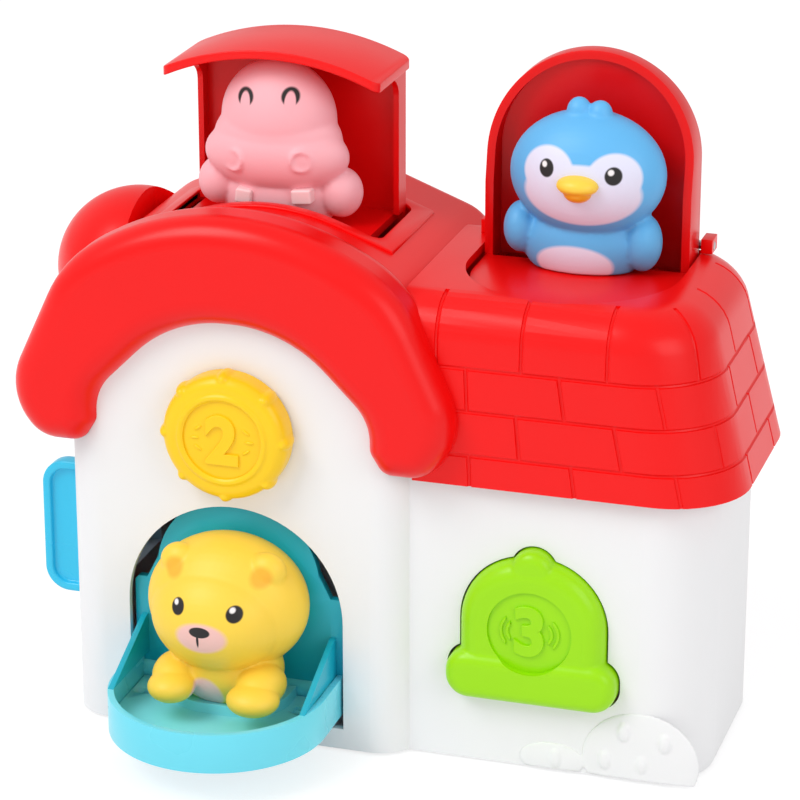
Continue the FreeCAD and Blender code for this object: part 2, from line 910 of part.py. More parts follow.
roll = soften(roll_arch, S.roll_round, roll_rim)
roof_hollow = roof_form(slope_start - 1, back - slope_start + 1, -S.roof_thickness)
roll_hollow = roll_form(front, slope_start - front, -S.roof_thickness)
roof_mouth = box(
    (house_left, front, S.annex_height - S.mouth_drop),
    (house_right, back, S.slope_top_height - S.mouth_headroom),
)
hatch_y = front + S.hatch_front
hatch_back = hatch_y + S.hatch_depth
hippo_hatch = slab(
    "XY",
    rounded_plan(
        house_x - S.hatch_half_width,
        house_x + S.hatch_half_width,
        hatch_y,
        hatch_back,
        S.hatch_corner,
        S.hatch_corner,
    ),
    S.slope_top_height - S.trim_reach / 2,
    S.trim_reach,
)
annex_passage = box(
    (house_right + S.passage_inset, annex_front + S.wall_thickness, S.annex_height - 1),
    (annex_right, annex_back - S.wall_thickness, S.annex_roof_top - S.annex_roof_round),
)
main_roof = node(
    "main_roof",
    cut(fuse(slopes, roll), roof_hollow, roll_hollow, roof_mouth, hippo_hatch, annex_passage),
)

annex_roof_rise = S.annex_roof_top - S.annex_height
annex_roof_right = annex_right + S.annex_roof_side_overhang
annex_roof_front = annex_front - S.annex_roof_overhang
annex_roof_back = annex_back + S.annex_roof_overhang
annex_roof_corner = S.annex_corner + S.annex_roof_overhang
annex_roof_left_round = 2 * S.annex_roof_round


def annex_roof_top_plan(wall):
    """The upper end of the drafted cap, or of the room in it when a wall is taken off."""
    inset = S.annex_roof_inset + wall
    return rounded_plan(
        house_x,
        annex_roof_right - S.annex_roof_side_inset - wall,
        annex_roof_front + inset,
        annex_roof_back - inset,
        annex_roof_left_round - wall,
        annex_roof_corner - inset,
    )


def roof_top_edge(edge):
    limits = edge.BoundBox
    return limits.ZLength < 0.01 and abs(limits.ZMax - S.annex_roof_top.value) < 0.01


annex_roof_solid = soften(
    tapered(
        rounded_plan(
            house_x,
            annex_roof_right,
            annex_roof_front,
            annex_roof_back,
            annex_roof_left_round,
            annex_roof_corner,
        ),
        annex_roof_top_plan(sized(0)),
        S.annex_height,
        S.annex_roof_top,
    ),
    S.annex_roof_round,
    roof_top_edge,
)
annex_roof_hollow = tapered(
    rounded_plan(
        house_x,
        annex_right - S.annex_roof_seat,
        annex_front + S.annex_roof_seat,
        annex_back - S.annex_roof_seat,
        annex_roof_left_round - S.roof_thickness,
        S.annex_corner - S.annex_roof_seat,
    ),
    annex_roof_top_plan(S.roof_thickness),
    S.annex_height - 0.01,
    S.annex_roof_top - S.roof_thickness,
)
penguin_x = house_right + S.penguin_offset
penguin_hinge_y = front + S.penguin_hinge_depth
penguin_hinge_z = S.annex_roof_top + S.hinge_pin_radius + S.slide_gap
lid_back_y = penguin_hinge_y - (penguin_hinge_z - S.annex_roof_top)
lid_foot = S.annex_roof_top - S.penguin_floor_drop - S.penguin_floor_thickness


def hatch_form(half_width, reach, heel, low, thickness):
    """A U-shaped plate that points to the front: half-round nose and straight sides."""
    nose_y = penguin_hinge_y - reach + half_width
    nose = half_rod("Z", (penguin_x, nose_y, low), half_width, thickness)
    sides = box(
        (penguin_x - half_width, nose_y, low),
        (penguin_x + half_width, heel, low + thickness),
    )
    return fuse(nose, sides)


hatch_reach = S.penguin_lid_rise + S.door_gap
penguin_hatch = hatch_form(
    S.penguin_radius + S.door_gap,
    hatch_reach,
    penguin_hinge_y + (penguin_hinge_z - lid_foot) + S.door_gap,
    S.annex_roof_top - S.trim_reach / 2,
    S.trim_reach,
)
annex_roof_trim = fuse(
    roof_form(roof_front, S.house_depth + 2 * S.eave_overhang),
    roll_form(roof_front, S.roll_depth),
    box((house_left, roof_front, 0), (house_right, main_back, eave_bottom + 1)),
)
annex_roof = node(
    "annex_roof",
    cut(cut(cut(annex_roof_solid, annex_roof_hollow), penguin_hatch), annex_roof_trim),
)

turret_x = house_left - S.turret_offset
turret_y = front + S.turret_setback
turret_tube = cut(
    rod("Z", (turret_x, turret_y, S.base_lip), S.turret_radius, S.turret_wall_height),
    rod("Z", (turret_x, turret_y, 0), S.turret_radius - S.wall_thickness, above_all),
)
turret_trim = slab("XY", house_plan(sized(0)), 0, above_all)
node("turret_wall", cut(turret_tube, turret_trim, annex_roof_trim))
turret_dome = ball(
    (turret_x, turret_y, S.turret_roof_middle),
    S.turret_roof_radius,
    S.turret_roof_radius,
    S.turret_roof_rise,
)
dome_floor = box(
    (turret_x - S.trim_reach, turret_y - S.trim_reach, 0),
    (turret_x + S.trim_reach, turret_y + S.trim_reach, S.base_lip + S.turret_wall_height),
)
node("turret_roof", cut(turret_dome, dome_floor, turret_trim, annex_roof_trim))

# ---------------------------------------------------------------------------------------------
# Lion door: a tray that swings up about its back edge to close the doorway
# ---------------------------------------------------------------------------------------------

leaf_radius = S.door_radius - S.door_gap
leaf_reach = S.door_centre_height - lion_hinge_z
tray_low = lion_hinge_z - S.tray_depth / 2
tray_high = lion_hinge_z + S.tray_depth / 2
tray_centre_y = lion_hinge_y - leaf_reach


def tray_form(radius, low, thickness):
    """The doorway's shape lying flat, half-round end to the front."""
    nose = half_rod("Z", (house_x, tray_centre_y, low), radius, thickness)
    heel = box(
        (house_x - radius, tray_centre_y, low), (house_x + radius, lion_hinge_y, low + thickness)
    )
    return fuse(nose, heel)


barrel = rod(
    "X", (house_x - leaf_radius, lion_hinge_y, lion_hinge_z), S.tray_depth / 2, 2 * leaf_radius
)
lion_pin_bore = rod(
    "X",
    (house_x - leaf_radius - 1, lion_hinge_y, lion_hinge_z),
    S.hinge_pin_radius + S.hinge_gap,
    2 * leaf_radius + 2,
)
lion_spring_half = 2 * S.spring_pitch
bay_half = lion_spring_half + S.spring_pitch
spring_bay = box(
    (house_x - bay_half, lion_hinge_y - S.lion_spring_room, lion_hinge_z - S.lion_spring_room),
    (house_x + bay_half, lion_hinge_y + S.tray_depth, lion_hinge_z + S.lion_spring_room),
)
tray_bowl = tray_form(leaf_radius - S.tray_wall, tray_low + S.tray_wall, S.tray_depth)
tray_hollow = cut(tray_bowl, barrel)
lion_tray = node(
    "lion_tray",
    cut(
        fuse(tray_form(leaf_radius, tray_low, S.tray_depth), barrel),
        tray_hollow,
        lion_pin_bore,
        spring_bay,
    ),
)
liner_radius = leaf_radius - S.tray_wall - S.trim_gap
liner_low = tray_low + S.tray_wall
barrel_room = rod(
    "X",
    (house_x - leaf_radius - 1, lion_hinge_y, lion_hinge_z),
    S.tray_depth / 2 + S.trim_gap,
    2 * leaf_radius + 2,
)
panel_front = front + S.wall_thickness + S.door_gap
pedestal_front = panel_front - S.pedestal_reach
pedestal_back = panel_front - S.trim_gap
pedestal = slab(
    "XY",
    [
        (house_x - S.pedestal_half_width, pedestal_front, S.pedestal_round),
        (house_x + S.pedestal_half_width, pedestal_front, S.pedestal_round),
        (house_x + S.pedestal_half_width, pedestal_back),
        (house_x - S.pedestal_half_width, pedestal_back),
    ],
    liner_low,
    S.pedestal_height,
)
lion_liner = node(
    "lion_liner",
    cut(
        fuse(tray_form(liner_radius, liner_low, S.tray_floor), pedestal),
        barrel_room,
    ),
)
panel_top = lion_hinge_z + S.lion_panel_rise
panel_step = S.lion_panel_step
panel_half = []
for side in (1, -1):
    run = [
        (house_x + side * liner_radius, lion_hinge_z),
        (house_x + side * liner_radius, tray_high),
        (house_x + side * leaf_radius, tray_high),
        (house_x + side * leaf_radius, panel_step, 2),
        (house_x + side * S.lion_panel_shoulder, panel_step),
        (house_x + side * S.lion_panel_half_width, panel_step + S.panel_step_run, S.panel_corner),
        (house_x + side * S.lion_panel_half_width, panel_top, S.lion_panel_half_width - 1),
    ]
    panel_half += run if side == 1 else run[::-1]
lion_panel_shape = slab("XZ", panel_half, panel_front, S.lift_panel)
gussets = []
gusset_edge = liner_radius
for side in (-1, 1):
    inner = house_x + side * (gusset_edge - 2)
    outer = house_x + side * gusset_edge
    left_face = outer if side < 0 else inner
    gussets.append(
        slab(
            "YZ",
            [
                (panel_front + 1, tray_high),
                (panel_front + 1, tray_high + S.gusset_rise),
                (panel_front - 2, tray_high + S.gusset_rise, S.panel_corner),
                (panel_front - S.gusset_reach, tray_high),
            ],
            left_face,
            2,
        )
    )
node("lion_back_panel", cut(fuse(lion_panel_shape, *gussets), barrel_room))

lion_middle = (house_x, panel_front - S.lion_setback, liner_low + S.pedestal_height)
lion_form = fuse(
    mass("lion_head", lion_middle),
    mass("lion_body", lion_middle),
    *pair("lion_paw", lion_middle),
    *pair("lion_ear", lion_middle),
)
lion_seat = block_below(lion_middle)
lion_rear = block_behind(lion_middle, panel_front - S.trim_gap)
node("lion_figure", cut(lion_form, lion_seat, lion_rear, barrel_room))
node(
    "lion_hinge_pin",
    rod(
        "X",
        (house_x - lug_inner - S.hinge_lug_thickness, lion_hinge_y, lion_hinge_z),
        S.hinge_pin_radius,
        2 * (lug_inner + S.hinge_lug_thickness),
    ),
)
node(
    "lion_hinge_spring",
    coil(
        "X",
        (house_x - lion_spring_half, lion_hinge_y, lion_hinge_z),
        S.lion_spring_radius,
        2 * lion_spring_half,
    ),
)

# ---------------------------------------------------------------------------------------------
# Hippo lift: a roof panel, back panel and floor that rise together on two rails
# ---------------------------------------------------------------------------------------------

lid_half_width = S.hatch_half_width - S.door_gap + 0.3
lid_y = hatch_y + S.door_gap - 0.3
lid_back = hatch_back - S.door_gap + 0.3
lid_top = ridge_height - S.lid_sink + S.lift_travel
lid_radius = (lid_half_width * lid_half_width + S.lid_crown * S.lid_crown) / (2 * S.lid_crown)
lid_plan = slab(
    "XY",
    rounded_plan(
        house_x - lid_half_width,
        house_x + lid_half_width,
        lid_y,
        lid_back,
        S.lid_corner,
        S.lid_corner,
    ),
    lid_top - S.trim_reach,
    S.trim_reach + 1,
)
lid_curve = cut(
    rod("Y", (house_x, lid_y - 1, lid_top - lid_radius), lid_radius, S.hatch_depth + 2),
    rod(
        "Y",
        (house_x, lid_y - 2, lid_top - lid_radius),
        lid_radius - S.lift_panel,
        S.hatch_depth + 2 * 2,
    ),
)
node("hippo_lid", common(lid_plan, lid_curve))
lift_floor_top = lid_top - S.lift_floor_drop
lift_panel_half = lid_half_width - 2
under_lid = rod(
    "Y",
    (house_x, lid_y - 1, lid_top - lid_radius),
    lid_radius - S.lift_panel,
    S.hatch_depth + 2,
)
lift_panel_y = lid_back - S.lift_panel
lift_panel_low = S.lift_shelf_height + S.wall_thickness + 2 + S.lift_travel
back_sheet = box(
    (house_x - lift_panel_half, lift_panel_y, lift_panel_low),
    (house_x + lift_panel_half, lid_back, lid_top),
)
side_flanges = []
for side in (-1, 1):
    inner = house_x + side * (lift_panel_half - 2)
    outer = house_x + side * lift_panel_half
    left_face = outer if side < 0 else inner
    side_flanges.append(
        slab(
            "YZ",
            [
                (lift_panel_y + 1, lift_floor_top),
                (lift_panel_y + 1, lid_top),
                (lid_y + S.flange_setback, lid_top),
                (lift_panel_y - S.lift_flange, lid_top - 2 * S.lid_crown, S.flange_round),
                (lift_panel_y - S.lift_flange, lift_floor_top),
            ],
            left_face,
            2,
        )
    )
node("hippo_back_panel", common(fuse(back_sheet, *side_flanges), under_lid))
node(
    "hippo_floor",
    box(
        (house_x - lift_panel_half + 2 + S.trim_gap, lid_y, lift_floor_top - S.lift_panel),
        (house_x + lift_panel_half - 2 - S.trim_gap, lift_panel_y, lift_floor_top),
    ),
)
hippo_middle = (house_x, lid_y + S.hippo_setback, lift_floor_top)
hippo_form = fuse(
    mass("hippo_head", hippo_middle),
    mass("hippo_snout", hippo_middle),
    mass("hippo_body", hippo_middle),
    *pair("hippo_arm", hippo_middle),
)
hippo_seat = block_below(hippo_middle)
node("hippo_figure", cut(hippo_form, hippo_seat))

rail_y = lid_back + S.trim_gap + S.rail_setback
rail_low = S.lift_shelf_height + S.wall_thickness
rail_high = S.slope_top_height - S.rail_headroom
shoe_low = lift_panel_low
shoes = []
rails = []
for side in (-1, 1):
    rail_x = house_x + side * S.lift_rail_offset
    block = box(
        (rail_x - S.lift_shoe_half_width, lid_back, shoe_low),
        (
            rail_x + S.lift_shoe_half_width,
            rail_y + S.lift_rail_radius * 2,
            shoe_low + S.lift_shoe_height,
        ),
    )
    bore = rod(
        "Z",
        (rail_x, rail_y, shoe_low - 1),
        S.lift_rail_radius + S.hinge_gap,
        S.lift_shoe_height + 2,
    )
    shoes.append(cut(block, bore))
    rails.append(
        rod("Z", (rail_x, rail_y, rail_low), S.lift_rail_radius, rail_high - rail_low)
    )
node("lift_shoes", group(*shoes))
node("lift_rails", group(*rails))
shelf_front = lid_y + S.shelf_setback
node(
    "lift_shelf",
    fuse(
        box(
            (house_x - S.lift_shelf_half_width, shelf_front, S.lift_shelf_height),
            (house_x + S.lift_shelf_half_width, back - S.wall_thickness, rail_low),
        ),
        box(
            (
                house_x - S.lift_shelf_half_width,
                back - S.wall_thickness - S.lift_panel,
                S.lift_shelf_height - S.lift_shelf_flange,
            ),
            (
                house_x + S.lift_shelf_half_width,
                back - S.wall_thickness,
                S.lift_shelf_height + S.lift_shelf_flange,
            ),
        ),
    ),
)
spring_y = lid_y + S.lift_spring_setback
node(
    "lift_spring",
    coil(
        "Z",
        (house_x, spring_y, rail_low + S.spring_wire_radius),
        S.lift_spring_radius,
        lift_floor_top - S.lift_panel - rail_low - 2 * S.spring_wire_radius,
    ),
)

# ---------------------------------------------------------------------------------------------
# Penguin hatch: an upright lid and a floor in one angle, hinged behind the opening
# ---------------------------------------------------------------------------------------------

lid_front = lid_back_y - S.penguin_lid_thickness
lid_centre_z = penguin_hinge_z + S.penguin_lid_rise - S.penguin_radius
lid_arch = arch(
    S.penguin_radius,
    lid_foot,
    lid_centre_z,
    penguin_x,
    lid_back_y - S.penguin_rim_depth,
    S.penguin_rim_depth,
)
lid_scoop = arch(
    S.penguin_radius - S.penguin_rim_wall,
    lid_foot - 1,
    lid_centre_z,
    penguin_x,
    lid_back_y - S.penguin_rim_depth - 1,
    S.penguin_rim_depth + 1 - S.penguin_lid_thickness,
)
rim_slope_front = lid_back_y - S.penguin_rim_depth - 2
rim_slope_back = lid_back_y - S.penguin_lid_thickness - S.rim_top_width
rim_slope = slab(
    "YZ",
    [
        (rim_slope_front, penguin_hinge_z + S.rim_slope_foot),
        (rim_slope_back, penguin_hinge_z + S.penguin_lid_rise),
        (rim_slope_back, penguin_hinge_z + S.penguin_lid_rise + S.trim_reach),
        (rim_slope_front, penguin_hinge_z + S.penguin_lid_rise + S.trim_reach),
    ],
    penguin_x - S.trim_reach,
    2 * S.trim_reach,
)
barrel_half = S.penguin_radius - S.penguin_barrel_inset
lid_barrel = rod(
    "X",
    (penguin_x - barrel_half, penguin_hinge_y, penguin_hinge_z),
    S.penguin_barrel_radius,
    2 * barrel_half,
)
lid_neck = box(
    (
        penguin_x - barrel_half,
        lid_back_y - 1,
        penguin_hinge_z - S.penguin_barrel_radius,
    ),
    (
        penguin_x + barrel_half,
        penguin_hinge_y,
        penguin_hinge_z + S.penguin_barrel_radius,
    ),
)
penguin_pin_bore = rod(
    "X",
    (penguin_x - S.penguin_radius - S.pin_bore_overrun, penguin_hinge_y, penguin_hinge_z),
    S.hinge_pin_radius + S.hinge_gap,
    2 * (S.penguin_radius + S.pin_bore_overrun),
)
penguin_spring_half = 1.5 * S.spring_pitch
penguin_bay_half = penguin_spring_half + S.spring_pitch
penguin_spring_bay = box(
    (
        penguin_x - penguin_bay_half,
        penguin_hinge_y - S.penguin_spring_room,
        penguin_hinge_z - S.penguin_spring_room,
    ),
    (
        penguin_x + penguin_bay_half,
        penguin_hinge_y + S.penguin_spring_room,
        penguin_hinge_z + S.penguin_spring_room,
    ),
)
node(
    "penguin_lid",
    cut(
        fuse(cut(lid_arch, lid_scoop, rim_slope), lid_barrel, lid_neck),
        penguin_pin_bore,
        penguin_spring_bay,
    ),
)
node(
    "penguin_floor",
    cut(
        hatch_form(
            S.penguin_radius - S.penguin_floor_gap,
            S.penguin_lid_rise,
            lid_front,
            lid_foot,
            S.penguin_floor_thickness,
        ),
        lid_arch,
    ),
)
penguin_stand = S.annex_roof_top - S.penguin_floor_drop
penguin_middle = (penguin_x, penguin_hinge_y - S.penguin_setback, penguin_stand)
penguin_form = fuse(
    mass("penguin_head", penguin_middle),
    mass("penguin_body", penguin_middle),
    *pair("penguin_wing", penguin_middle),
    mass("penguin_tuft", penguin_middle),
)
penguin_rear = block_behind(penguin_middle, lid_front - S.trim_gap)
penguin_seat = block_below(penguin_middle)
node("penguin_figure", cut(penguin_form, penguin_seat, penguin_rear))
pin_half = S.penguin_radius + S.door_gap + S.hinge_block_length
node(
    "penguin_hinge_pin",
    rod(
        "X",
        (penguin_x - pin_half, penguin_hinge_y, penguin_hinge_z),
        S.hinge_pin_radius,
        2 * pin_half,
    ),
)
node(
    "penguin_hinge_spring",
    coil(
        "X",
        (penguin_x - penguin_spring_half, penguin_hinge_y, penguin_hinge_z),
        S.penguin_spring_radius,
        2 * penguin_spring_half,
    ),
)
pin_blocks = []
for side in (-1, 1):
    inner = penguin_x + side * (S.penguin_radius + S.door_gap)
    outer = penguin_x + side * pin_half
    left_face, right_face = (outer, inner) if side < 0 else (inner, outer)
    block = box(
        (left_face, penguin_hinge_y - S.hinge_block_half_depth, S.annex_roof_top),
        (
            right_face,
            penguin_hinge_y + S.hinge_block_half_depth,
            penguin_hinge_z + S.penguin_barrel_radius,
        ),
    )
    bore = rod(
        "X",
        (left_face - 1, penguin_hinge_y, penguin_hinge_z),
        S.hinge_pin_radius,
        right_face - left_face + 2,
    )
    pin_blocks.append(cut(block, bore))
node("hinge_blocks", group(*pin_blocks))

# ---------------------------------------------------------------------------------------------
# Twist knob: turns the cam that frees the hippo lift
# ---------------------------------------------------------------------------------------------

knob_front = front - S.knob_depth
knob_back = front - S.slide_gap
bump_ring = S.knob_radius - S.knob_bump_radius + S.knob_bump_rise
bumps = [
    rod(
        "Y",
        (
            house_x + bump_ring * cos(radians(360 / KNOB_BUMPS * turn)),
            knob_front + S.knob_bumps_back,
            S.knob_height + bump_ring * sin(radians(360 / KNOB_BUMPS * turn)),
        ),
        S.knob_bump_radius,
        knob_back - knob_front - S.knob_bumps_back,
    )
    for turn in range(KNOB_BUMPS)
]
knob_core = rod(
    "Y",
    (house_x, knob_front + S.knob_bumps_back, S.knob_height),
    S.knob_radius,
    knob_back - knob_front - S.knob_bumps_back,
)
knob_ring = rod(
    "Y",
    (house_x, knob_front, S.knob_height),
    S.knob_face_radius + S.knob_rim,
    knob_back - knob_front,
)
knob_recess = rod(
    "Y",
    (house_x, knob_front - 1, S.knob_height),
    S.knob_face_radius,
    S.knob_recess_depth + 1,
)
node("twist_knob", cut(fuse(knob_core, knob_ring, *bumps), knob_recess))
node(
    "knob_disc",
    rod(
        "Y",
        (house_x, knob_front + S.knob_disc_sink, S.knob_height),
        S.knob_face_radius - S.trim_gap,
        S.knob_recess_depth - S.knob_disc_sink,
    ),
)
shaft_end = front + S.knob_shaft_reach
node(
    "knob_shaft",
    rod("Y", (house_x, knob_back, S.knob_height), S.knob_shaft_radius, shaft_end - knob_back),
)
cam_y = front + S.cam_depth
cam = fuse(
    rod("Y", (house_x, cam_y, S.knob_height), S.cam_radius, S.cam_thickness),
    slab(
        "XZ",
        [
            (house_x - S.cam_nose_half_width, S.knob_height),
            (house_x, S.knob_height - S.cam_nose_reach, S.cam_nose_round),
            (house_x + S.cam_nose_half_width, S.knob_height),
        ],
        cam_y,
        S.cam_thickness,
    ),
)
node(
    "knob_cam",
    cut(
        cam,
        rod("Y", (house_x, cam_y - 1, S.knob_height), S.knob_shaft_radius, S.cam_thickness + 2),
    ),
)
knob_spring_y = front + S.wall_thickness + S.spring_wire_radius
node(
    "knob_spring",
    coil(
        "Y",
        (house_x, knob_spring_y, S.knob_height),
        S.knob_shaft_radius + S.spring_wire_radius + S.spring_clearance,
        cam_y - S.spring_wire_radius - knob_spring_y,
    ),
)

# ---------------------------------------------------------------------------------------------
# Bell button: pushes back to free the penguin hatch
# ---------------------------------------------------------------------------------------------

bell_front = annex_front - S.bell_proud
flange_y = annex_front + S.wall_thickness + S.trim_gap
bell_body = fuse(
    bell_form(bell_front, flange_y - bell_front + 0.5, 0),
    bell_form(flange_y, S.bell_flange, S.bell_flange),
)
disc_recess = rod(
    "Y",
    (bell_x, bell_front - 1, S.bell_disc_height),
    S.bell_disc_radius + S.trim_gap,
    1 + S.bell_disc_sink + S.bell_disc_thickness,
)
node("bell_button", cut(bell_body, disc_recess))
node(
    "bell_disc",
    rod(
        "Y",
        (bell_x, bell_front + S.bell_disc_sink, S.bell_disc_height),
        S.bell_disc_radius,
        S.bell_disc_thickness,
    ),
)
stem_end = annex_front + S.bell_stem_end
node(
    "bell_plunger",
    rod(
        "Y",
        (bell_x, flange_y + S.bell_flange, S.bell_disc_height),
        S.bell_stem_radius,
        stem_end - flange_y - S.bell_flange,
    ),
)
guide_y = annex_front + S.bell_guide_depth
guide_bore = rod(
    "Y",
    (bell_x, guide_y - 1, S.bell_disc_height),
    S.bell_stem_radius + S.hinge_gap,
    S.bell_guide_thickness + 2,
)
node(
    "bell_guide",
    cut(
        box(
            (bell_x - S.bell_guide_half_width, guide_y, floor_top),
            (
                bell_x + S.bell_guide_half_width,
                guide_y + S.bell_guide_thickness,
                S.bell_disc_height + S.bell_guide_half_width,
            ),
        ),
        guide_bore,
    ),
)
node(
    "bell_spring",
    coil(
        "Y",
        (bell_x, flange_y + S.bell_flange + S.spring_wire_radius, S.bell_disc_height),
        S.bell_stem_radius + S.spring_wire_radius + S.spring_clearance,
        guide_y - flange_y - S.bell_flange - 2 * S.spring_wire_radius,
    ),
)

# ---------------------------------------------------------------------------------------------
# Side slider: a tab beside the left wall that frees the lion door
# ---------------------------------------------------------------------------------------------

tab_left = house_left - S.slider_reach
tab_right = house_left - S.slide_gap
tab_high = S.slider_bottom + S.slider_length
tab_corners = [
    (tab_left, S.slider_bottom, S.slider_round),
    (tab_right, S.slider_bottom, S.slider_inner_round),
    (tab_right, tab_high, S.slider_inner_round),
    (tab_left, tab_high, S.slider_round),
]
dish_round = S.slider_round - S.slider_rim
tab_dish = [
    (tab_left + S.slider_rim, S.slider_bottom + S.slider_rim, dish_round),
    (tab_right - S.slider_rim, S.slider_bottom + S.slider_rim, 1),
    (tab_right - S.slider_rim, tab_high - S.slider_rim, 1),
    (tab_left + S.slider_rim, tab_high - S.slider_rim, dish_round),
]
stem_in = house_left + S.wall_thickness + S.slide_gap
tab_stem = box(
    (tab_right - 2, slider_y, slider_low), (stem_in, slider_y + S.slider_thickness, slider_high)
)
node(
    "slider_tab",
    cut(
        fuse(slab("XZ", tab_corners, slider_y, S.slider_thickness), tab_stem),
        slab("XZ", tab_dish, slider_y - 1, S.slider_dish + 1),
    ),
)
carriage_low = slider_low - S.carriage_lip
carriage_high = slider_high + S.carriage_lip
carriage_right = stem_in + S.carriage_thickness
carriage_back = slider_y + S.slider_thickness + S.carriage_lip
node(
    "slider_carriage",
    box(
        (stem_in, slider_y - S.carriage_lip, carriage_low),
        (carriage_right, carriage_back, carriage_high),
    ),
)
rail_end = carriage_back + S.slider_travel + S.slider_spring_room - S.carriage_lip
guide_wall = S.slider_guide_thickness
guide_right = carriage_right + 2
slider_guides = [
    box(
        (house_left + S.wall_thickness, slider_y - 2 * S.carriage_lip, low),
        (guide_right, rail_end, low + guide_wall),
    )
    for low in (carriage_low - guide_wall - S.slide_gap, carriage_high + S.slide_gap)
]
guide_stop = box(
    (house_left + S.wall_thickness, rail_end - guide_wall, carriage_low - guide_wall),
    (guide_right, rail_end, carriage_high + guide_wall),
)
node("slider_guide", fuse(*slider_guides, guide_stop))
slider_spring_y = carriage_back + S.spring_wire_radius
node(
    "slider_spring",
    coil(
        "Y",
        (stem_in + S.carriage_thickness / 2, slider_spring_y, (slider_low + slider_high) / 2),
        S.slider_spring_radius,
        rail_end - guide_wall - S.spring_wire_radius - slider_spring_y,
    ),
)

# ---------------------------------------------------------------------------------------------
# Check and write
# ---------------------------------------------------------------------------------------------

doc.recompute()
for feature in doc.Objects:
    if "Invalid" in feature.State or "Error" in feature.State:
        raise RuntimeError("%s (%s) failed: %s" % (feature.Name, feature.Label, feature.State))
for feature in nodes:
    if feature.Shape.isNull() or not feature.Shape.isValid() or not feature.Shape.Solids:
        raise RuntimeError("%s has no valid solid" % feature.Label)
os.makedirs("parts", exist_ok=True)
for feature in nodes:
    feature.Shape.exportStep("parts/%s.step" % feature.Label)
    print("%-22s %2d solids %9.1f mm3" % (feature.Label, len(feature.Shape.Solids), feature.Shape.Volume))
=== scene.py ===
import json
from math import cos, pi, radians, sin

import bpy
import bmesh
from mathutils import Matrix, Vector

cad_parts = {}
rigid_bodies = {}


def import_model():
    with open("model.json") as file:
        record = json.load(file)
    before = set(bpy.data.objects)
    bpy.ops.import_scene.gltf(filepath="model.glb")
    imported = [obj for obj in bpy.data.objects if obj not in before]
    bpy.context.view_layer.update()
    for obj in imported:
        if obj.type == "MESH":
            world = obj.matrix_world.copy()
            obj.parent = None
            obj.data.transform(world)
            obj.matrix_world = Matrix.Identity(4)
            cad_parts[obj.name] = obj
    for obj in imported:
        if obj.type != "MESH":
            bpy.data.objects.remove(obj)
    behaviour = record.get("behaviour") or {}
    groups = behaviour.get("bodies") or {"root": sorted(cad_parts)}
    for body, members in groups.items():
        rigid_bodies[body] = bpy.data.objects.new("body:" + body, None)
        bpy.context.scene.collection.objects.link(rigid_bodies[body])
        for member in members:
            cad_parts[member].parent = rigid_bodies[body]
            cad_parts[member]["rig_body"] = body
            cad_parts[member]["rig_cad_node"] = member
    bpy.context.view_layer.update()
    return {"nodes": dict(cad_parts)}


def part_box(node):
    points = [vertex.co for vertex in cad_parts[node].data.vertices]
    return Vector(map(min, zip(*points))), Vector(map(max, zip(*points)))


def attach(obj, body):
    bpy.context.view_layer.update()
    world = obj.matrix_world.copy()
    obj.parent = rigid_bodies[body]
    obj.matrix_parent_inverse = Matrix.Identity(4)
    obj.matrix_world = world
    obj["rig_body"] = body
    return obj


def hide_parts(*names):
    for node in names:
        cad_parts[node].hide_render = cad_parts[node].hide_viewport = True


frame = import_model()

# ---------------------------------------------------------------------------------------------
# Camera: stands a little to the right of the front, above the roof's ridge, and looks down at
# the house with a long lens.
# ---------------------------------------------------------------------------------------------

EYE = (0.3216, -1.0524, 0.5250)
EYE_PITCH = radians(69.5)
EYE_TURN = radians(17.35)
bpy.ops.object.select_all(action="DESELECT")
bpy.ops.object.camera_add(location=EYE, rotation=(EYE_PITCH, 0, EYE_TURN))
camera = bpy.context.object
camera.name = "view_from_front_right"
camera.data.lens = 152.25
camera.data.shift_y = -0.0046
camera.data.clip_end = 20
bpy.context.scene.camera = camera

# ---------------------------------------------------------------------------------------------
# Studio: a pale floor that fills the view and turns white for the camera, a soft lamp at the
# upper left, a weaker one at the right, and an even pale surrounding.
# ---------------------------------------------------------------------------------------------

FLOOR_SIZE = 12
FLOOR_HEIGHT = -0.0002
FLOOR_GREY = (0.86, 0.86, 0.87, 1)
FLOOR_GLOW = 1.3
FLOOR_GLOW_SHARE = 0.55
SURROUNDING_LIGHT = 0.7
bpy.ops.mesh.primitive_plane_add(size=FLOOR_SIZE, location=(0, 0, FLOOR_HEIGHT))
floor = bpy.context.object
floor.name = "studio_floor"
bpy.ops.object.mode_set(mode="EDIT")
bpy.ops.mesh.subdivide(number_cuts=3)
bpy.ops.object.mode_set(mode="OBJECT")
bpy.ops.object.transform_apply(location=True, rotation=True, scale=True)
floor_finish = bpy.data.materials.new("white_floor")
floor_finish.use_nodes = True
nodes, links = floor_finish.node_tree.nodes, floor_finish.node_tree.links
nodes["Principled BSDF"].inputs["Base Color"].default_value = FLOOR_GREY
nodes["Principled BSDF"].inputs["Roughness"].default_value = 0.6
glow = nodes.new("ShaderNodeEmission")
glow.inputs["Strength"].default_value = FLOOR_GLOW
seen = nodes.new("ShaderNodeLightPath")
either = nodes.new("ShaderNodeMath")
either.operation = "MAXIMUM"
any_view = nodes.new("ShaderNodeMath")
any_view.operation = "MAXIMUM"
links.new(seen.outputs["Is Camera Ray"], either.inputs[0])
links.new(seen.outputs["Is Glossy Ray"], either.inputs[1])
links.new(either.outputs[0], any_view.inputs[0])
links.new(seen.outputs["Is Transmission Ray"], any_view.inputs[1])
share = nodes.new("ShaderNodeMath")
share.operation = "MULTIPLY"
share.inputs[1].default_value = FLOOR_GLOW_SHARE
links.new(any_view.outputs[0], share.inputs[0])
blend = nodes.new("ShaderNodeMixShader")
links.new(share.outputs[0], blend.inputs[0])
links.new(nodes["Principled BSDF"].outputs[0], blend.inputs[1])
links.new(glow.outputs[0], blend.inputs[2])
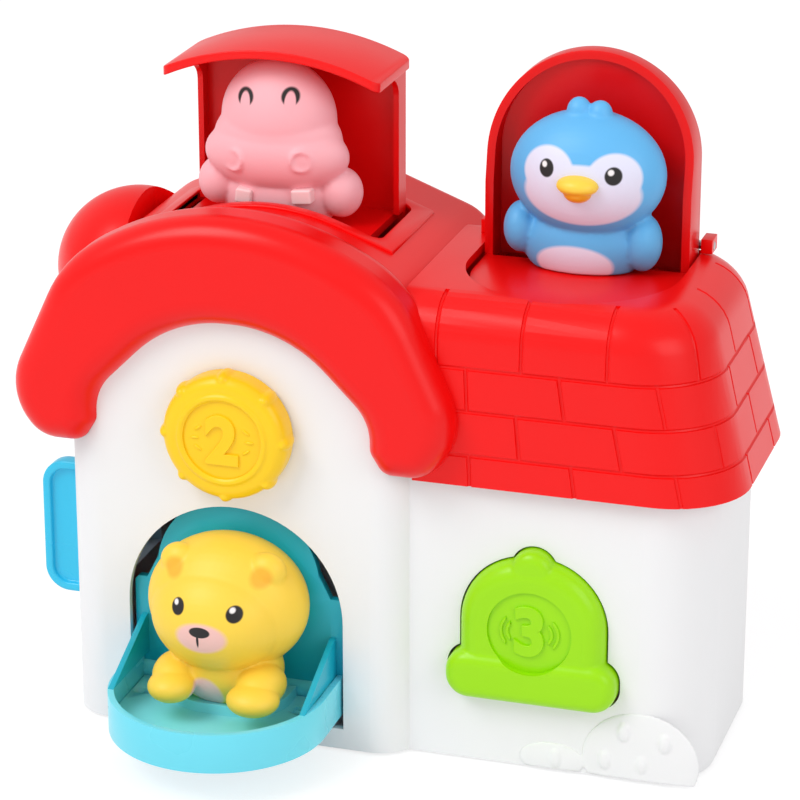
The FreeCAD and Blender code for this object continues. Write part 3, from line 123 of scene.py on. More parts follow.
links.new(blend.outputs[0], nodes["Material Output"].inputs["Surface"])
floor.data.materials.append(floor_finish)


def soft_lamp(name, place, aim, size, power):
    direction = Vector(aim) - Vector(place)
    bpy.ops.object.light_add(
        type="AREA", location=place, rotation=direction.to_track_quat("-Z", "Y").to_euler()
    )
    lamp = bpy.context.object
    lamp.name = name
    lamp.data.size = size
    lamp.data.energy = power


HOUSE_MIDDLE = (0, 0, 0.1)
soft_lamp("lamp_upper_left", (-0.75, -0.9, 1.35), HOUSE_MIDDLE, 0.8, 12)
soft_lamp("lamp_right", (1.3, -0.8, 0.8), HOUSE_MIDDLE, 0.9, 5)
world = bpy.data.worlds.new("pale_surrounding")
bpy.context.scene.world = world
world.use_nodes = True
world.node_tree.nodes["Background"].inputs["Color"].default_value = (1, 1, 1, 1)
world.node_tree.nodes["Background"].inputs["Strength"].default_value = SURROUNDING_LIGHT
bpy.context.scene.view_settings.view_transform = "Standard"

# ---------------------------------------------------------------------------------------------
# White body: two satin shells, screwed to a base plate. The plastic is moulded, so its colour
# and gloss wander a little and its skin has a faint grain.
# ---------------------------------------------------------------------------------------------


def linear(red, green, blue):
    """A paint colour written as it looks, from 0 to 255."""
    return [((part / 255 + 0.055) / 1.055) ** 2.4 for part in (red, green, blue)] + [1.0]


CLOUD_SCALE = 28
GRAIN_SCALE = 900
GRAIN_DEPTH = 0.0003
PLASTIC_IOR = 1.48


def moulded_plastic(name, colour, gloss=0.3, shade=0.93, grain=0.04, shine=None):
    """Solid coloured plastic; a low gloss number is shinier, a low shine reflects less."""
    material = bpy.data.materials.new(name)
    material.use_nodes = True
    nodes, links = material.node_tree.nodes, material.node_tree.links
    shader = nodes["Principled BSDF"]
    place = nodes.new("ShaderNodeTexCoord")
    cloud = nodes.new("ShaderNodeTexNoise")
    cloud.inputs["Scale"].default_value = CLOUD_SCALE
    cloud.inputs["Detail"].default_value = 3
    tint = nodes.new("ShaderNodeMix")
    tint.data_type = "RGBA"
    tint.inputs[6].default_value = [part * shade for part in colour[:3]] + [1]
    tint.inputs[7].default_value = colour
    sheen = nodes.new("ShaderNodeMapRange")
    sheen.inputs["To Min"].default_value = gloss - 0.05
    sheen.inputs["To Max"].default_value = gloss + 0.06
    skin = nodes.new("ShaderNodeTexNoise")
    skin.inputs["Scale"].default_value = GRAIN_SCALE
    skin.inputs["Detail"].default_value = 2
    bump = nodes.new("ShaderNodeBump")
    bump.inputs["Strength"].default_value = grain
    bump.inputs["Distance"].default_value = GRAIN_DEPTH
    for texture in (cloud, skin):
        links.new(place.outputs["Object"], texture.inputs["Vector"])
    links.new(cloud.outputs["Fac"], tint.inputs[0])
    links.new(cloud.outputs["Fac"], sheen.inputs["Value"])
    links.new(skin.outputs["Fac"], bump.inputs["Height"])
    links.new(tint.outputs[2], shader.inputs["Base Color"])
    links.new(sheen.outputs["Result"], shader.inputs["Roughness"])
    links.new(bump.outputs["Normal"], shader.inputs["Normal"])
    shader.inputs["IOR"].default_value = PLASTIC_IOR
    if shine is not None:
        shader.inputs["Specular IOR Level"].default_value = shine
    return material


def finish_nodes(material, *names):
    """Gives CAD pieces their finish."""
    for name in names:
        mesh = frame["nodes"][name].data
        mesh.materials.clear()
        mesh.materials.append(material)


white_satin = moulded_plastic("white_satin", linear(240, 240, 241), 0.38, 0.985)
finish_nodes(
    white_satin,
    "front_shell", "rear_shell", "base_plate", "turret_wall", "lift_shelf", "lift_shoes",
    "knob_shaft", "knob_cam", "bell_plunger", "bell_guide", "slider_guide",
)

# ---------------------------------------------------------------------------------------------
# Foundation stones: shallow white reliefs moulded on the annex's foot, one broad mound and one
# small one beside it, with short raised dashes.
# ---------------------------------------------------------------------------------------------

mm = 0.001
tray_corner, tray_far_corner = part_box("lion_tray")
door_x = (tray_corner.x + tray_far_corner.x) / 2
wall_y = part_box("front_shell")[0].y


def at(across, behind, up):
    """A place in millimetres from the foot of the doorway's middle."""
    return Vector((door_x + across * mm, wall_y + behind * mm, up * mm))


def select_only(piece):
    bpy.ops.object.select_all(action="DESELECT")
    piece.select_set(True)
    bpy.context.view_layer.objects.active = piece


def settle(piece):
    """Puts a piece's place, turn and scale into its mesh."""
    select_only(piece)
    bpy.ops.object.transform_apply(location=True, rotation=True, scale=True)
    return piece


def ball(name, middle, half_sizes, segments=48, rings=24):
    """A rounded mass; its poles face the front and the back."""
    bpy.ops.object.select_all(action="DESELECT")
    bpy.ops.mesh.primitive_uv_sphere_add(
        segments=segments, ring_count=rings, radius=1, location=middle, rotation=(pi / 2, 0, 0)
    )
    piece = bpy.context.object
    piece.name = name
    half_x, half_y, half_z = half_sizes
    piece.scale = (half_x * mm, half_z * mm, half_y * mm)
    return settle(piece)


def apply_modifier(piece, kind, **settings):
    select_only(piece)
    modifier = piece.modifiers.new(kind.lower(), kind)
    for key, value in settings.items():
        setattr(modifier, key, value)
    bpy.ops.object.modifier_apply(modifier=modifier.name)
    return piece


def join(name, pieces):
    bpy.ops.object.select_all(action="DESELECT")
    for piece in pieces:
        piece.select_set(True)
    bpy.context.view_layer.objects.active = pieces[0]
    bpy.ops.object.join()
    pieces[0].name = name
    return pieces[0]


def mould(piece, detail, softness):
    """Melts joined masses into one skin and eases the creases between them."""
    apply_modifier(piece, "REMESH", mode="VOXEL", voxel_size=detail * mm, use_smooth_shade=True)
    if softness:
        apply_modifier(piece, "SMOOTH", factor=0.5, iterations=softness)
    smooth(piece)
    return piece


def smooth(piece, sharpest=180):
    """Smooth shading; edges sharper than this many degrees stay crisp."""
    select_only(piece)
    if sharpest >= 180:
        bpy.ops.object.shade_smooth()
    else:
        bpy.ops.object.shade_smooth_by_angle(angle=radians(sharpest))
    return piece


def finish(piece, material, body, slot, *replaced):
    """Gives a finished piece its material and says what it rides on and replaces."""
    piece.data.materials.clear()
    piece.data.materials.append(material)
    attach(piece, body)
    if replaced:
        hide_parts(*replaced)
    return piece


def edit(piece):
    """Opens a piece in edit mode with nothing selected."""
    select_only(piece)
    bpy.ops.object.mode_set(mode="EDIT")
    bpy.ops.mesh.select_all(action="DESELECT")
    return bmesh.from_edit_mesh(piece.data)


def trim(place, facing):
    """Cuts off what lies behind a plane, in edit mode, and closes the cut."""
    bpy.ops.mesh.select_all(action="SELECT")
    bpy.ops.mesh.bisect(plane_co=place, plane_no=facing, use_fill=True, clear_inner=True)


def flat_foot(piece, height):
    edit(piece)
    trim(at(0, 0, height), (0, 0, 1))
    bpy.ops.object.mode_set(mode="OBJECT")


ANNEX_WALL = 7
STONE_RISE = 1.6
STONE_FOOT = 1.2
STONES = ((142.5, 8, 20.5, 18), (111.5, 4.5, 11.5, 6.5))
DASHES = ((136.8, 18.6), (151, 16.3), (130.2, 7.6), (143.2, 7.6), (113, 5.6))
DASH_HALF_SIZES = (2.1, 1.0, 3.4)
DASH_DEPTH = ANNEX_WALL - STONE_RISE + 0.2
stones = [
    ball("stone", at(across, ANNEX_WALL, up), (half_x, STONE_RISE, half_z), 40, 20)
    for across, up, half_x, half_z in STONES
]
dashes = [
    ball("dash", at(across, DASH_DEPTH, up), DASH_HALF_SIZES, 20, 10) for across, up in DASHES
]
stone_relief = join("foundation_stones", stones + dashes)
flat_foot(stone_relief, STONE_FOOT)
mould(stone_relief, 0.5, 2)
finish(stone_relief, white_satin, "house", "white")

# ---------------------------------------------------------------------------------------------
# Red roofs: glossy red shells of stiff plastic. The main roof ends in a puffy roll at the front
# and hooks over the body's walls, and the turret wears a round cap.
# ---------------------------------------------------------------------------------------------

roof_red = moulded_plastic("roof_red", linear(244, 8, 8), 0.3, 0.95, shine=0.32)
# A darker copy of the roof red, for the hippo's back panel and floor down in its hatch and for the
# penguin's lid: painted shade on pieces of the same red plastic.
red_with_painted_shade = moulded_plastic("red_with_painted_shade", linear(232, 6, 8), 0.32, 0.95, shine=0.32)
finish_nodes(roof_red, "main_roof", "turret_roof")
finish_nodes(red_with_painted_shade, "hippo_back_panel", "hippo_floor")

# ---------------------------------------------------------------------------------------------
# Hatch frame: a raised red border round the hippo's hatch. It is moulded in one with the main
# roof and follows its curve.
# ---------------------------------------------------------------------------------------------


def copy_of(piece, name):
    twin = piece.copy()
    twin.data = piece.data.copy()
    twin.name = name
    bpy.context.scene.collection.objects.link(twin)
    return twin


def merged_copy(node_name, name):
    """A copy of a CAD piece as one clean skin, free of the frame."""
    piece = copy_of(frame["nodes"][node_name], name)
    piece.parent = None
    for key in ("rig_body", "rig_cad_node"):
        if key in piece:
            del piece[key]
    edit(piece)
    bpy.ops.mesh.select_all(action="SELECT")
    bpy.ops.mesh.remove_doubles(threshold=0.005 * mm)
    bpy.ops.mesh.dissolve_limited(angle_limit=radians(1))
    return piece


FRAME_RISE = 1.1
FRAME_EASE = 0.5
FRAME_HALF_WIDTH = 45.5
FRAME_FRONT = 36.5
FRAME_BACK = 85
FRAME_FOOT = 160
hatch_frame = merged_copy("main_roof", "hatch_frame")
trim(at(-FRAME_HALF_WIDTH, 0, 0), (1, 0, 0))
trim(at(FRAME_HALF_WIDTH, 0, 0), (-1, 0, 0))
trim(at(0, FRAME_FRONT, 0), (0, 1, 0))
trim(at(0, FRAME_BACK, 0), (0, -1, 0))
trim(at(0, 0, FRAME_FOOT), (0, 0, 1))
bpy.ops.mesh.select_all(action="SELECT")
bpy.ops.transform.translate(value=(0, 0, FRAME_RISE * mm))
bpy.ops.object.mode_set(mode="OBJECT")
apply_modifier(
    hatch_frame, "BEVEL", width=FRAME_EASE * mm, segments=3, limit_method="ANGLE",
    angle_limit=radians(50), harden_normals=False,
)
smooth(hatch_frame, 35)
finish(hatch_frame, roof_red, "house", "red")

# ---------------------------------------------------------------------------------------------
# Annex roof: a drafted red cap with a brick pattern pressed into its walls. A hatch is cut in
# its top, and its left end runs into the main roof's slope.
# ---------------------------------------------------------------------------------------------

cap_corner, cap_far_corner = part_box("annex_roof")
CAP_CORNER = 27.2
CAP_TOP_ROUND = 13
CAP_INSET = 4.0
CAP_SIDE_INSET = 15.5
CAP_WALL = 3
CAP_LEFT = 30
cap_low = cap_corner.z / mm
cap_top = cap_far_corner.z / mm
cap_front = (cap_corner.y - wall_y) / mm
cap_back = (cap_far_corner.y - wall_y) / mm
cap_right = (cap_far_corner.x - door_x) / mm
cap_middle_y = (cap_front + cap_back) / 2


def pick(piece, mesh, kind, chosen):
    """Selects the faces, edges or vertices that chosen says."""
    bpy.ops.mesh.select_mode(type=kind)
    for element in {"FACE": mesh.faces, "EDGE": mesh.edges, "VERT": mesh.verts}[kind]:
        if chosen(element):
            element.select_set(True)
    mesh.select_flush_mode()
    bmesh.update_edit_mesh(piece.data)


def middle_of(edge):
    return (edge.verts[0].co + edge.verts[1].co) / 2


def upright(edge):
    return abs((edge.verts[0].co - edge.verts[1].co).normalized().z) > 0.9


bpy.ops.object.select_all(action="DESELECT")
bpy.ops.mesh.primitive_cube_add(
    size=1,
    location=at((CAP_LEFT + cap_right) / 2, cap_middle_y, (cap_low + cap_top) / 2),
)
cap = bpy.context.object
cap.name = "annex_roof_cap"
cap.scale = Vector((cap_right - CAP_LEFT, cap_back - cap_front, cap_top - cap_low)) * mm
settle(cap)
mesh = edit(cap)
pick(cap, mesh, "FACE", lambda face: face.normal.z > 0.9)
bpy.ops.transform.resize(
    value=(
        1 - CAP_SIDE_INSET / (cap_right - CAP_LEFT),
        1 - 2 * CAP_INSET / (cap_back - cap_front),
        1,
    ),
    center_override=at(CAP_LEFT, cap_middle_y, cap_top),
)
bpy.ops.mesh.select_all(action="DESELECT")
right_side = at((CAP_LEFT + cap_right) / 2, 0, 0).x
pick(cap, mesh, "EDGE", lambda edge: upright(edge) and middle_of(edge).x > right_side)
bpy.ops.mesh.bevel(offset=CAP_CORNER * mm, segments=14, affect="EDGES", clamp_overlap=False)
mesh = bmesh.from_edit_mesh(cap.data)
bpy.ops.mesh.select_all(action="DESELECT")
top_z = at(0, 0, cap_top).z
pick(
    cap,
    mesh,
    "EDGE",
    lambda edge: all(abs(corner.co.z - top_z) < 0.01 * mm for corner in edge.verts),
)
bpy.ops.mesh.bevel(offset=CAP_TOP_ROUND * mm, segments=8, affect="EDGES", clamp_overlap=False)
mesh = bmesh.from_edit_mesh(cap.data)
bpy.ops.mesh.select_all(action="DESELECT")
pick(cap, mesh, "FACE", lambda face: face.normal.z < -0.9)
bpy.ops.mesh.delete(type="FACE")
bpy.ops.object.mode_set(mode="OBJECT")

BRICK_ROWS = (113.9, 129.0, 143.7)
BRICK_LENGTH = 36.0
BRICKS = 9
ROW_STARTS = (20.5, 2.5)
TOP_BRICK_LENGTH = 33.0
TOP_BRICKS = 8
TOP_ROW_START = 9
SHOULDER_REACH = 14
GROOVE = 0.75
BRICKWORK_START = 62.5


def skin_line(name, cuts):
    """A round groove tool along the cap's skin, where the last of the cuts slices it."""
    piece = copy_of(cap, name)
    edit(piece)
    for place, facing in cuts:
        bpy.ops.mesh.select_all(action="SELECT")
        bpy.ops.mesh.bisect(
            plane_co=place, plane_no=facing,
            clear_inner=True, clear_outer=(place, facing) == cuts[-1],
        )
    bpy.ops.object.mode_set(mode="OBJECT")
    bpy.ops.object.convert(target="CURVE")
    line = bpy.context.object
    line.data.bevel_depth = GROOVE * mm
    line.data.bevel_resolution = 2
    line.data.use_fill_caps = True
    bpy.ops.object.convert(target="MESH")
    return bpy.context.object


def course_line(height):
    """A groove tool that follows the cap's outer wall at one height."""
    return skin_line("course_line", [(at(0, 0, height), (0, 0, 1))])


def cap_wall_point(along, height):
    """A point on the cap's wall; along is measured round its foot from the main house."""
    start = BRICKWORK_START
    rise = (height - cap_low) / (cap_top - cap_low)
    front = cap_front + CAP_INSET * rise
    rear = cap_back - CAP_INSET * rise
    right = cap_right - CAP_SIDE_INSET * rise
    flat = cap_right - CAP_CORNER - start
    turn = CAP_CORNER * pi / 2
    side = cap_back - cap_front - 2 * CAP_CORNER
    corner_x = right - CAP_CORNER
    if along < flat:
        return at(start + along * (corner_x - start) / flat, front, height)
    if along < flat + turn:
        facing = (along - flat) / CAP_CORNER - pi / 2
        behind = front + CAP_CORNER + CAP_CORNER * sin(facing)
        return at(corner_x + CAP_CORNER * cos(facing), behind, height)
    if along < flat + turn + side:
        share = (along - flat - turn) / side
        behind = front + CAP_CORNER + share * (rear - front - 2 * CAP_CORNER)
        return at(right, behind, height)
    if along < flat + 2 * turn + side:
        facing = (along - flat - turn - side) / CAP_CORNER
        behind = rear - CAP_CORNER + CAP_CORNER * sin(facing)
        return at(corner_x + CAP_CORNER * cos(facing), behind, height)
    back_share = (along - flat - 2 * turn - side) / flat
    return at(corner_x - back_share * (corner_x - start), rear, height)


def brick_joint(along, low, high):
    """An upright groove tool between two course lines."""
    foot, head = cap_wall_point(along, low), cap_wall_point(along, high)
    bpy.ops.object.select_all(action="DESELECT")
    bpy.ops.mesh.primitive_cylinder_add(
        vertices=12,
        radius=GROOVE * mm,
        depth=(head - foot).length,
        location=(foot + head) / 2,
        rotation=(head - foot).to_track_quat("Z", "Y").to_euler(),
    )
    return settle(bpy.context.object)


def shoulder_joint(along, low):
    """A groove tool that climbs the cap's wall and runs on over its rounded shoulder."""
    foot = cap_wall_point(along, low)
    onward = (cap_wall_point(along + 1, low) - cap_wall_point(along - 1, low)).normalized()
    inward = Vector((0, 0, 1)).cross(onward)
    far = foot + inward * SHOULDER_REACH * mm
    return skin_line(
        "shoulder_joint", [(foot, (0, 0, 1)), (far, tuple(-inward)), (foot, tuple(onward))]
    )


tools = [course_line(height) for height in BRICK_ROWS]
rows = [cap_low - 2] + list(BRICK_ROWS)
for row, (low, high) in enumerate(zip(rows[:-1], rows[1:])):
    first = ROW_STARTS[row % 2]
    for brick in range(BRICKS):
        tools.append(brick_joint(first + brick * BRICK_LENGTH, low, high))
for brick in range(TOP_BRICKS):
    tools.append(shoulder_joint(TOP_ROW_START + brick * TOP_BRICK_LENGTH, BRICK_ROWS[-1]))
groove_tool = join("groove_tool", tools)

# The cap's left end meets the main roof's slope, and below the slope it runs on to the wall.
SLOPE_FOOT = (78, 120)
SLOPE_TOP = (58, 165)
slope_normal = Vector((SLOPE_TOP[1] - SLOPE_FOOT[1], 0, SLOPE_FOOT[0] - SLOPE_TOP[0]))
SLOPE_START = 3
WALL_END = 63
eave_z = at(0, 0, SLOPE_FOOT[1] + SLOPE_START).z
slope_run = (SLOPE_FOOT[0] - SLOPE_TOP[0]) / (SLOPE_TOP[1] - SLOPE_FOOT[1])
slope_edge = SLOPE_FOOT[0] - 1
eave_edge = slope_edge - SLOPE_START * slope_run
edit(cap)
bpy.ops.mesh.select_all(action="SELECT")
bpy.ops.mesh.bisect(plane_co=(0, 0, eave_z), plane_no=(0, 0, 1))
mesh = bmesh.from_edit_mesh(cap.data)
bpy.ops.mesh.select_all(action="DESELECT")
pick(cap, mesh, "FACE", lambda face: face.calc_center_median().z > eave_z)
bpy.ops.mesh.split()
bpy.ops.mesh.bisect(
    plane_co=at(slope_edge, 0, SLOPE_FOOT[1]),
    plane_no=slope_normal.normalized(),
    clear_inner=True,
)
for edge_x, clear in ((WALL_END, True), (eave_edge, False)):
    mesh = bmesh.from_edit_mesh(cap.data)
    bpy.ops.mesh.select_all(action="DESELECT")
    pick(cap, mesh, "FACE", lambda face: face.calc_center_median().z < eave_z)
    bpy.ops.mesh.bisect(plane_co=at(edge_x, 0, 0), plane_no=(1, 0, 0), clear_inner=clear)
bpy.ops.mesh.select_all(action="SELECT")
bpy.ops.mesh.remove_doubles(threshold=0.02 * mm)
bpy.ops.object.mode_set(mode="OBJECT")
apply_modifier(cap, "SOLIDIFY", thickness=CAP_WALL * mm, offset=-1, use_rim=True)

HATCH_X = 105.0
HATCH_HALF = 37.0
HATCH_FRONT = 15.4
HATCH_BACK = 92.1
HATCH_TOOL_HEIGHT = 40
nose = at(HATCH_X, HATCH_FRONT + HATCH_HALF, cap_top)
bpy.ops.object.select_all(action="DESELECT")
bpy.ops.mesh.primitive_cylinder_add(
    vertices=96, radius=HATCH_HALF * mm, depth=HATCH_TOOL_HEIGHT * mm, location=nose
)
hatch_tool = bpy.context.object
mesh = edit(hatch_tool)
pick(hatch_tool, mesh, "VERT", lambda corner: corner.co.y > 0)
bpy.ops.transform.resize(value=(1, 0.01, 1), center_override=nose)
bpy.ops.transform.translate(value=(0, (HATCH_BACK - HATCH_FRONT - HATCH_HALF) * mm, 0))
bpy.ops.object.mode_set(mode="OBJECT")


def carve(piece, tool, crossing=False):
    """Cuts a tool's shape out of a piece; crossing says that parts of the tool overlap."""
    apply_modifier(
        piece, "BOOLEAN", object=tool, operation="DIFFERENCE", solver="EXACT", use_self=crossing
    )
    bpy.data.objects.remove(tool)


carve(cap, settle(hatch_tool))
carve(cap, settle(groove_tool), crossing=True)
smooth(cap, 32)
finish(cap, roof_red, "house", "red", "annex_roof")

# ---------------------------------------------------------------------------------------------
# Tray, lids and tab: hard glossy plastic whose edges are eased as a mould leaves them. The
# liner's floor has two small recesses at the feet of its gussets.
# ---------------------------------------------------------------------------------------------


def softened(name, ease, sharpest=35, segments=3):
    """A copy of a CAD piece, merged to one skin, with its corners eased."""
    piece = merged_copy(name, name + "_eased")
    bpy.ops.object.mode_set(mode="OBJECT")
    apply_modifier(
        piece, "BEVEL", width=ease * mm, segments=segments, limit_method="ANGLE",
        angle_limit=radians(sharpest), harden_normals=False, miter_outer="MITER_ARC",
    )
    apply_modifier(piece, "TRIANGULATE")
    return smooth(piece, 40)


tray_blue = moulded_plastic("tray_blue", linear(112, 226, 246), 0.28)
# A lighter copy of the tray's blue for the liner's floor: painted light that lifts the floor where
# the lion shades it.
floor_blue_with_painted_light = moulded_plastic("floor_blue_with_painted_light", linear(140, 238, 250), 0.3)
liner_blue = moulded_plastic("liner_blue", linear(20, 178, 205), 0.3)
tab_blue = moulded_plastic("tab_blue", linear(52, 204, 244), 0.28)
finish(softened("lion_tray", 0.5), tray_blue, "lion_door", "light_cyan", "lion_tray")
liner = softened("lion_liner", 0.4)
LINER_FLOOR = 17.2
RECESS = 3
RECESSES = ((-35, -30.8, -10.8, -7.2), (23.5, 27.5, -10.4, -5.2))
for low_x, high_x, low_y, high_y in RECESSES:
    bpy.ops.object.select_all(action="DESELECT")
    bpy.ops.mesh.primitive_cube_add(
        size=1, location=at((low_x + high_x) / 2, (low_y + high_y) / 2, LINER_FLOOR)
    )
    recess_tool = bpy.context.object
    recess_tool.scale = ((high_x - low_x) * mm, (high_y - low_y) * mm, RECESS * mm)
    carve(liner, settle(recess_tool))
# The liner's floor wears the lighter blue with painted light.
finish(smooth(liner, 40), floor_blue_with_painted_light, "lion_door", "cyan", "lion_liner")
finish(softened("lion_back_panel", 0.4), liner_blue, "lion_door", "cyan", "lion_back_panel")
finish(softened("hippo_lid", 0.7), roof_red, "hippo_lift", "red", "hippo_lid")
# The penguin's lid wears the darker red with painted shade.
finish(softened("penguin_lid", 0.6), red_with_painted_shade, "penguin_hatch", "red", "penguin_lid")
finish(softened("penguin_floor", 0.4), roof_red, "penguin_hatch", "red", "penguin_floor")
finish(softened("hinge_blocks", 1.2), roof_red, "house", "red", "hinge_blocks")
finish(softened("slider_tab", 0.7), tab_blue, "slider", "tab_cyan", "slider_tab")
finish_nodes(tab_blue, "slider_carriage")

# ---------------------------------------------------------------------------------------------
# Twist knob: a thick yellow disc with eight nubs round its rim and a raised ring on its face. A
# plain numeral 2 with three rays on each side is moulded in the sunk middle.
# ---------------------------------------------------------------------------------------------


def round_plate(name, middle, radius, depth, ease):
    """A flat round piece that faces the front, with its front rim eased."""
    bpy.ops.object.select_all(action="DESELECT")
    bpy.ops.mesh.primitive_cylinder_add(
        vertices=96, radius=radius * mm, depth=depth * mm, location=middle, rotation=(pi / 2, 0, 0)
    )
    piece = settle(bpy.context.object)
    piece.name = name
    return ease_front(piece, ease)


def ease_front(piece, ease):
    """Rounds the rim of a piece's front face."""
    mesh = edit(piece)
    front_y = min(corner.co.y for corner in mesh.verts) + 0.01 * mm
    pick(piece, mesh, "EDGE", lambda edge: all(corner.co.y < front_y for corner in edge.verts))
    bpy.ops.mesh.bevel(offset=ease * mm, segments=5, affect="EDGES")
    bpy.ops.object.mode_set(mode="OBJECT")
    return piece


def sink(piece, middle, radius, depth):
    """Cuts a shallow round recess into a piece's face."""
    carve(piece, round_plate("recess_tool", middle, radius, depth, 0.2), crossing=True)


def numeral(figure, middle, height):
    """A raised numeral that faces the front."""
    bpy.ops.object.select_all(action="DESELECT")
    bpy.ops.object.text_add(location=middle, rotation=(pi / 2, 0, 0))
    text = bpy.context.object
    text.data.body = figure
    text.data.align_x = "CENTER"
    text.data.align_y = "CENTER"
    text.data.size = height * mm
    text.data.offset = 0.03 * height * mm
    text.data.extrude = 0.5 * mm
    text.data.bevel_depth = 0.3 * mm
    text.data.bevel_resolution = 2
    bpy.ops.object.convert(target="MESH")
    return settle(bpy.context.object)


knob_yellow = moulded_plastic("knob_yellow", linear(255, 208, 24), 0.3, shine=0.35)
KNOB_HEIGHT = 114.5
KNOB_RADIUS = 22.2
NUBS = 8
NUB_REACH = 20.9
knob_parts = [round_plate("rim", at(0, -5.3, KNOB_HEIGHT), KNOB_RADIUS, 9.8, 4.4)]
for turn in range(NUBS):
    angle = turn * 2 * pi / NUBS
    spot = at(NUB_REACH * cos(angle), -4.8, KNOB_HEIGHT + NUB_REACH * sin(angle))
    knob_parts.append(ball("nub", spot, (2.6, 5.2, 2.6), 20, 12))
bpy.ops.object.select_all(action="DESELECT")
bpy.ops.mesh.primitive_torus_add(
    location=at(0, -10.0, KNOB_HEIGHT), rotation=(pi / 2, 0, 0),
    major_radius=15.1 * mm, minor_radius=1.1 * mm, major_segments=96, minor_segments=16,
)
knob_parts.append(settle(bpy.context.object))
knob = join("knob_body", knob_parts)
mould(knob, 0.45, 4)
sink(knob, at(0, -10.6, KNOB_HEIGHT), 13.9, 2.2)
smooth(knob, 50)
finish(knob, knob_yellow, "knob", "yellow", "twist_knob")
knob_face = round_plate("knob_face", at(0, -8.9, KNOB_HEIGHT), 14.1, 1.6, 0.3)
smooth(knob_face, 40)
finish(knob_face, knob_yellow, "knob", "yellow", "knob_disc")
RAY_TILTS = (-35, 0, 35)
RAY_REACH = 6.2
knob_marks = [numeral("2", at(0, -9.9, KNOB_HEIGHT - 1), 23)]
for side in (-1, 1):
    for tilt in RAY_TILTS:
        reach = Vector((side * cos(radians(tilt)), 0, sin(radians(tilt))))
        spot = at(side * 3.5, -9.6, KNOB_HEIGHT) + reach * RAY_REACH * mm
        ray = ball("ray", spot, (1.7, 0.7, 0.6), 16, 10)
        bpy.ops.transform.rotate(
            value=-side * radians(tilt), orient_axis="Y", center_override=spot
        )
        knob_marks.append(settle(ray))
knob_numeral = join("knob_numeral", knob_marks)
finish(smooth(knob_numeral, 40), knob_yellow, "knob", "yellow")

# ---------------------------------------------------------------------------------------------
# Bell button: a puffy green bell with a bar along its foot and a knob on top. A round face is
# sunk in its middle, with a plain numeral 3 and two sound lines on each side.
# ---------------------------------------------------------------------------------------------


def soft_block(name, low, high, corner_round, ease, rounded):
    """A block with its Y edges rounded where rounded says, and its front rim eased."""
    bpy.ops.object.select_all(action="DESELECT")
    bpy.ops.mesh.primitive_cube_add(size=1, location=(low + high) / 2)
    piece = bpy.context.object
    piece.name = name
    piece.scale = high - low
    settle(piece)
    mesh = edit(piece)
    pick(
        piece, mesh, "EDGE",
        lambda edge: abs(edge.verts[0].co.y - edge.verts[1].co.y) > mm and rounded(edge),
    )
    bpy.ops.mesh.bevel(offset=corner_round * mm, segments=14, affect="EDGES", clamp_overlap=False)
    bpy.ops.object.mode_set(mode="OBJECT")
    return ease_front(piece, ease)


bell_green = moulded_plastic("bell_green", linear(160, 228, 4), 0.3, shine=0.35)
BELL_X = 104.5
BELL_BACK = 12
BELL_FACE = 53
DOME_HALF = 25.3
DOME_TOP = 78
BAR_HALF = 29.7
SOUND_LINE_X = 3.6
SOUND_LINES = (4.2, 6.4)
SOUND_LINE_START = 0.72
bell_middle = at(BELL_X, 0, BELL_FACE)
bell = join(
    "bell_body",
    [
        soft_block(
            "dome",
            at(BELL_X - DOME_HALF, 0.8, 30), at(BELL_X + DOME_HALF, BELL_BACK, DOME_TOP),
            24, 6.5, lambda edge: edge.verts[0].co.z > bell_middle.z,
        ),
        soft_block(
            "bar",
            at(BELL_X - BAR_HALF, -1, 26), at(BELL_X + BAR_HALF, BELL_BACK, 43.5),
            8, 4.5, lambda edge: True,
        ),
        round_plate("top_knob", at(BELL_X, 6.5, 74.2), 7.5, 10.6, 4),
    ],
)
mould(bell, 0.55, 5)
sink(bell, at(BELL_X, 0.3, BELL_FACE), 14.7, 3.0)
smooth(bell, 50)
finish(bell, bell_green, "bell", "green", "bell_button")
bell_face = round_plate("bell_face", at(BELL_X, 2.5, BELL_FACE), 14.9, 1.6, 0.4)
smooth(bell_face, 40)
finish(bell_face, bell_green, "bell", "green", "bell_disc")
BELL_MARK_DEPTH = 1.5
bell_marks = [numeral("3", at(BELL_X, BELL_MARK_DEPTH, BELL_FACE - 0.5), 23.5)]
for side in (-1, 1):
    for reach in SOUND_LINES:
        bpy.ops.object.select_all(action="DESELECT")
        bpy.ops.mesh.primitive_torus_add(
            location=at(BELL_X + side * SOUND_LINE_X, BELL_MARK_DEPTH, BELL_FACE),
            rotation=(pi / 2, 0, 0),
            major_radius=reach * mm, minor_radius=0.6 * mm, major_segments=48, minor_segments=10,
        )
        line = settle(bpy.context.object)
        edit(line)
        start = SOUND_LINE_X + reach * SOUND_LINE_START
        trim(at(BELL_X + side * start, 0, 0), (side, 0, 0))
        bpy.ops.object.mode_set(mode="OBJECT")
        bell_marks.append(line)
bell_numeral = join("bell_numeral", bell_marks)
finish(smooth(bell_numeral, 40), bell_green, "bell", "green")

# ---------------------------------------------------------------------------------------------
# Lion: a hollow figure of soft matt vinyl with a printed face, moulded in one skin from rounded
# masses. It lies on the tray behind its two paws.
# ---------------------------------------------------------------------------------------------


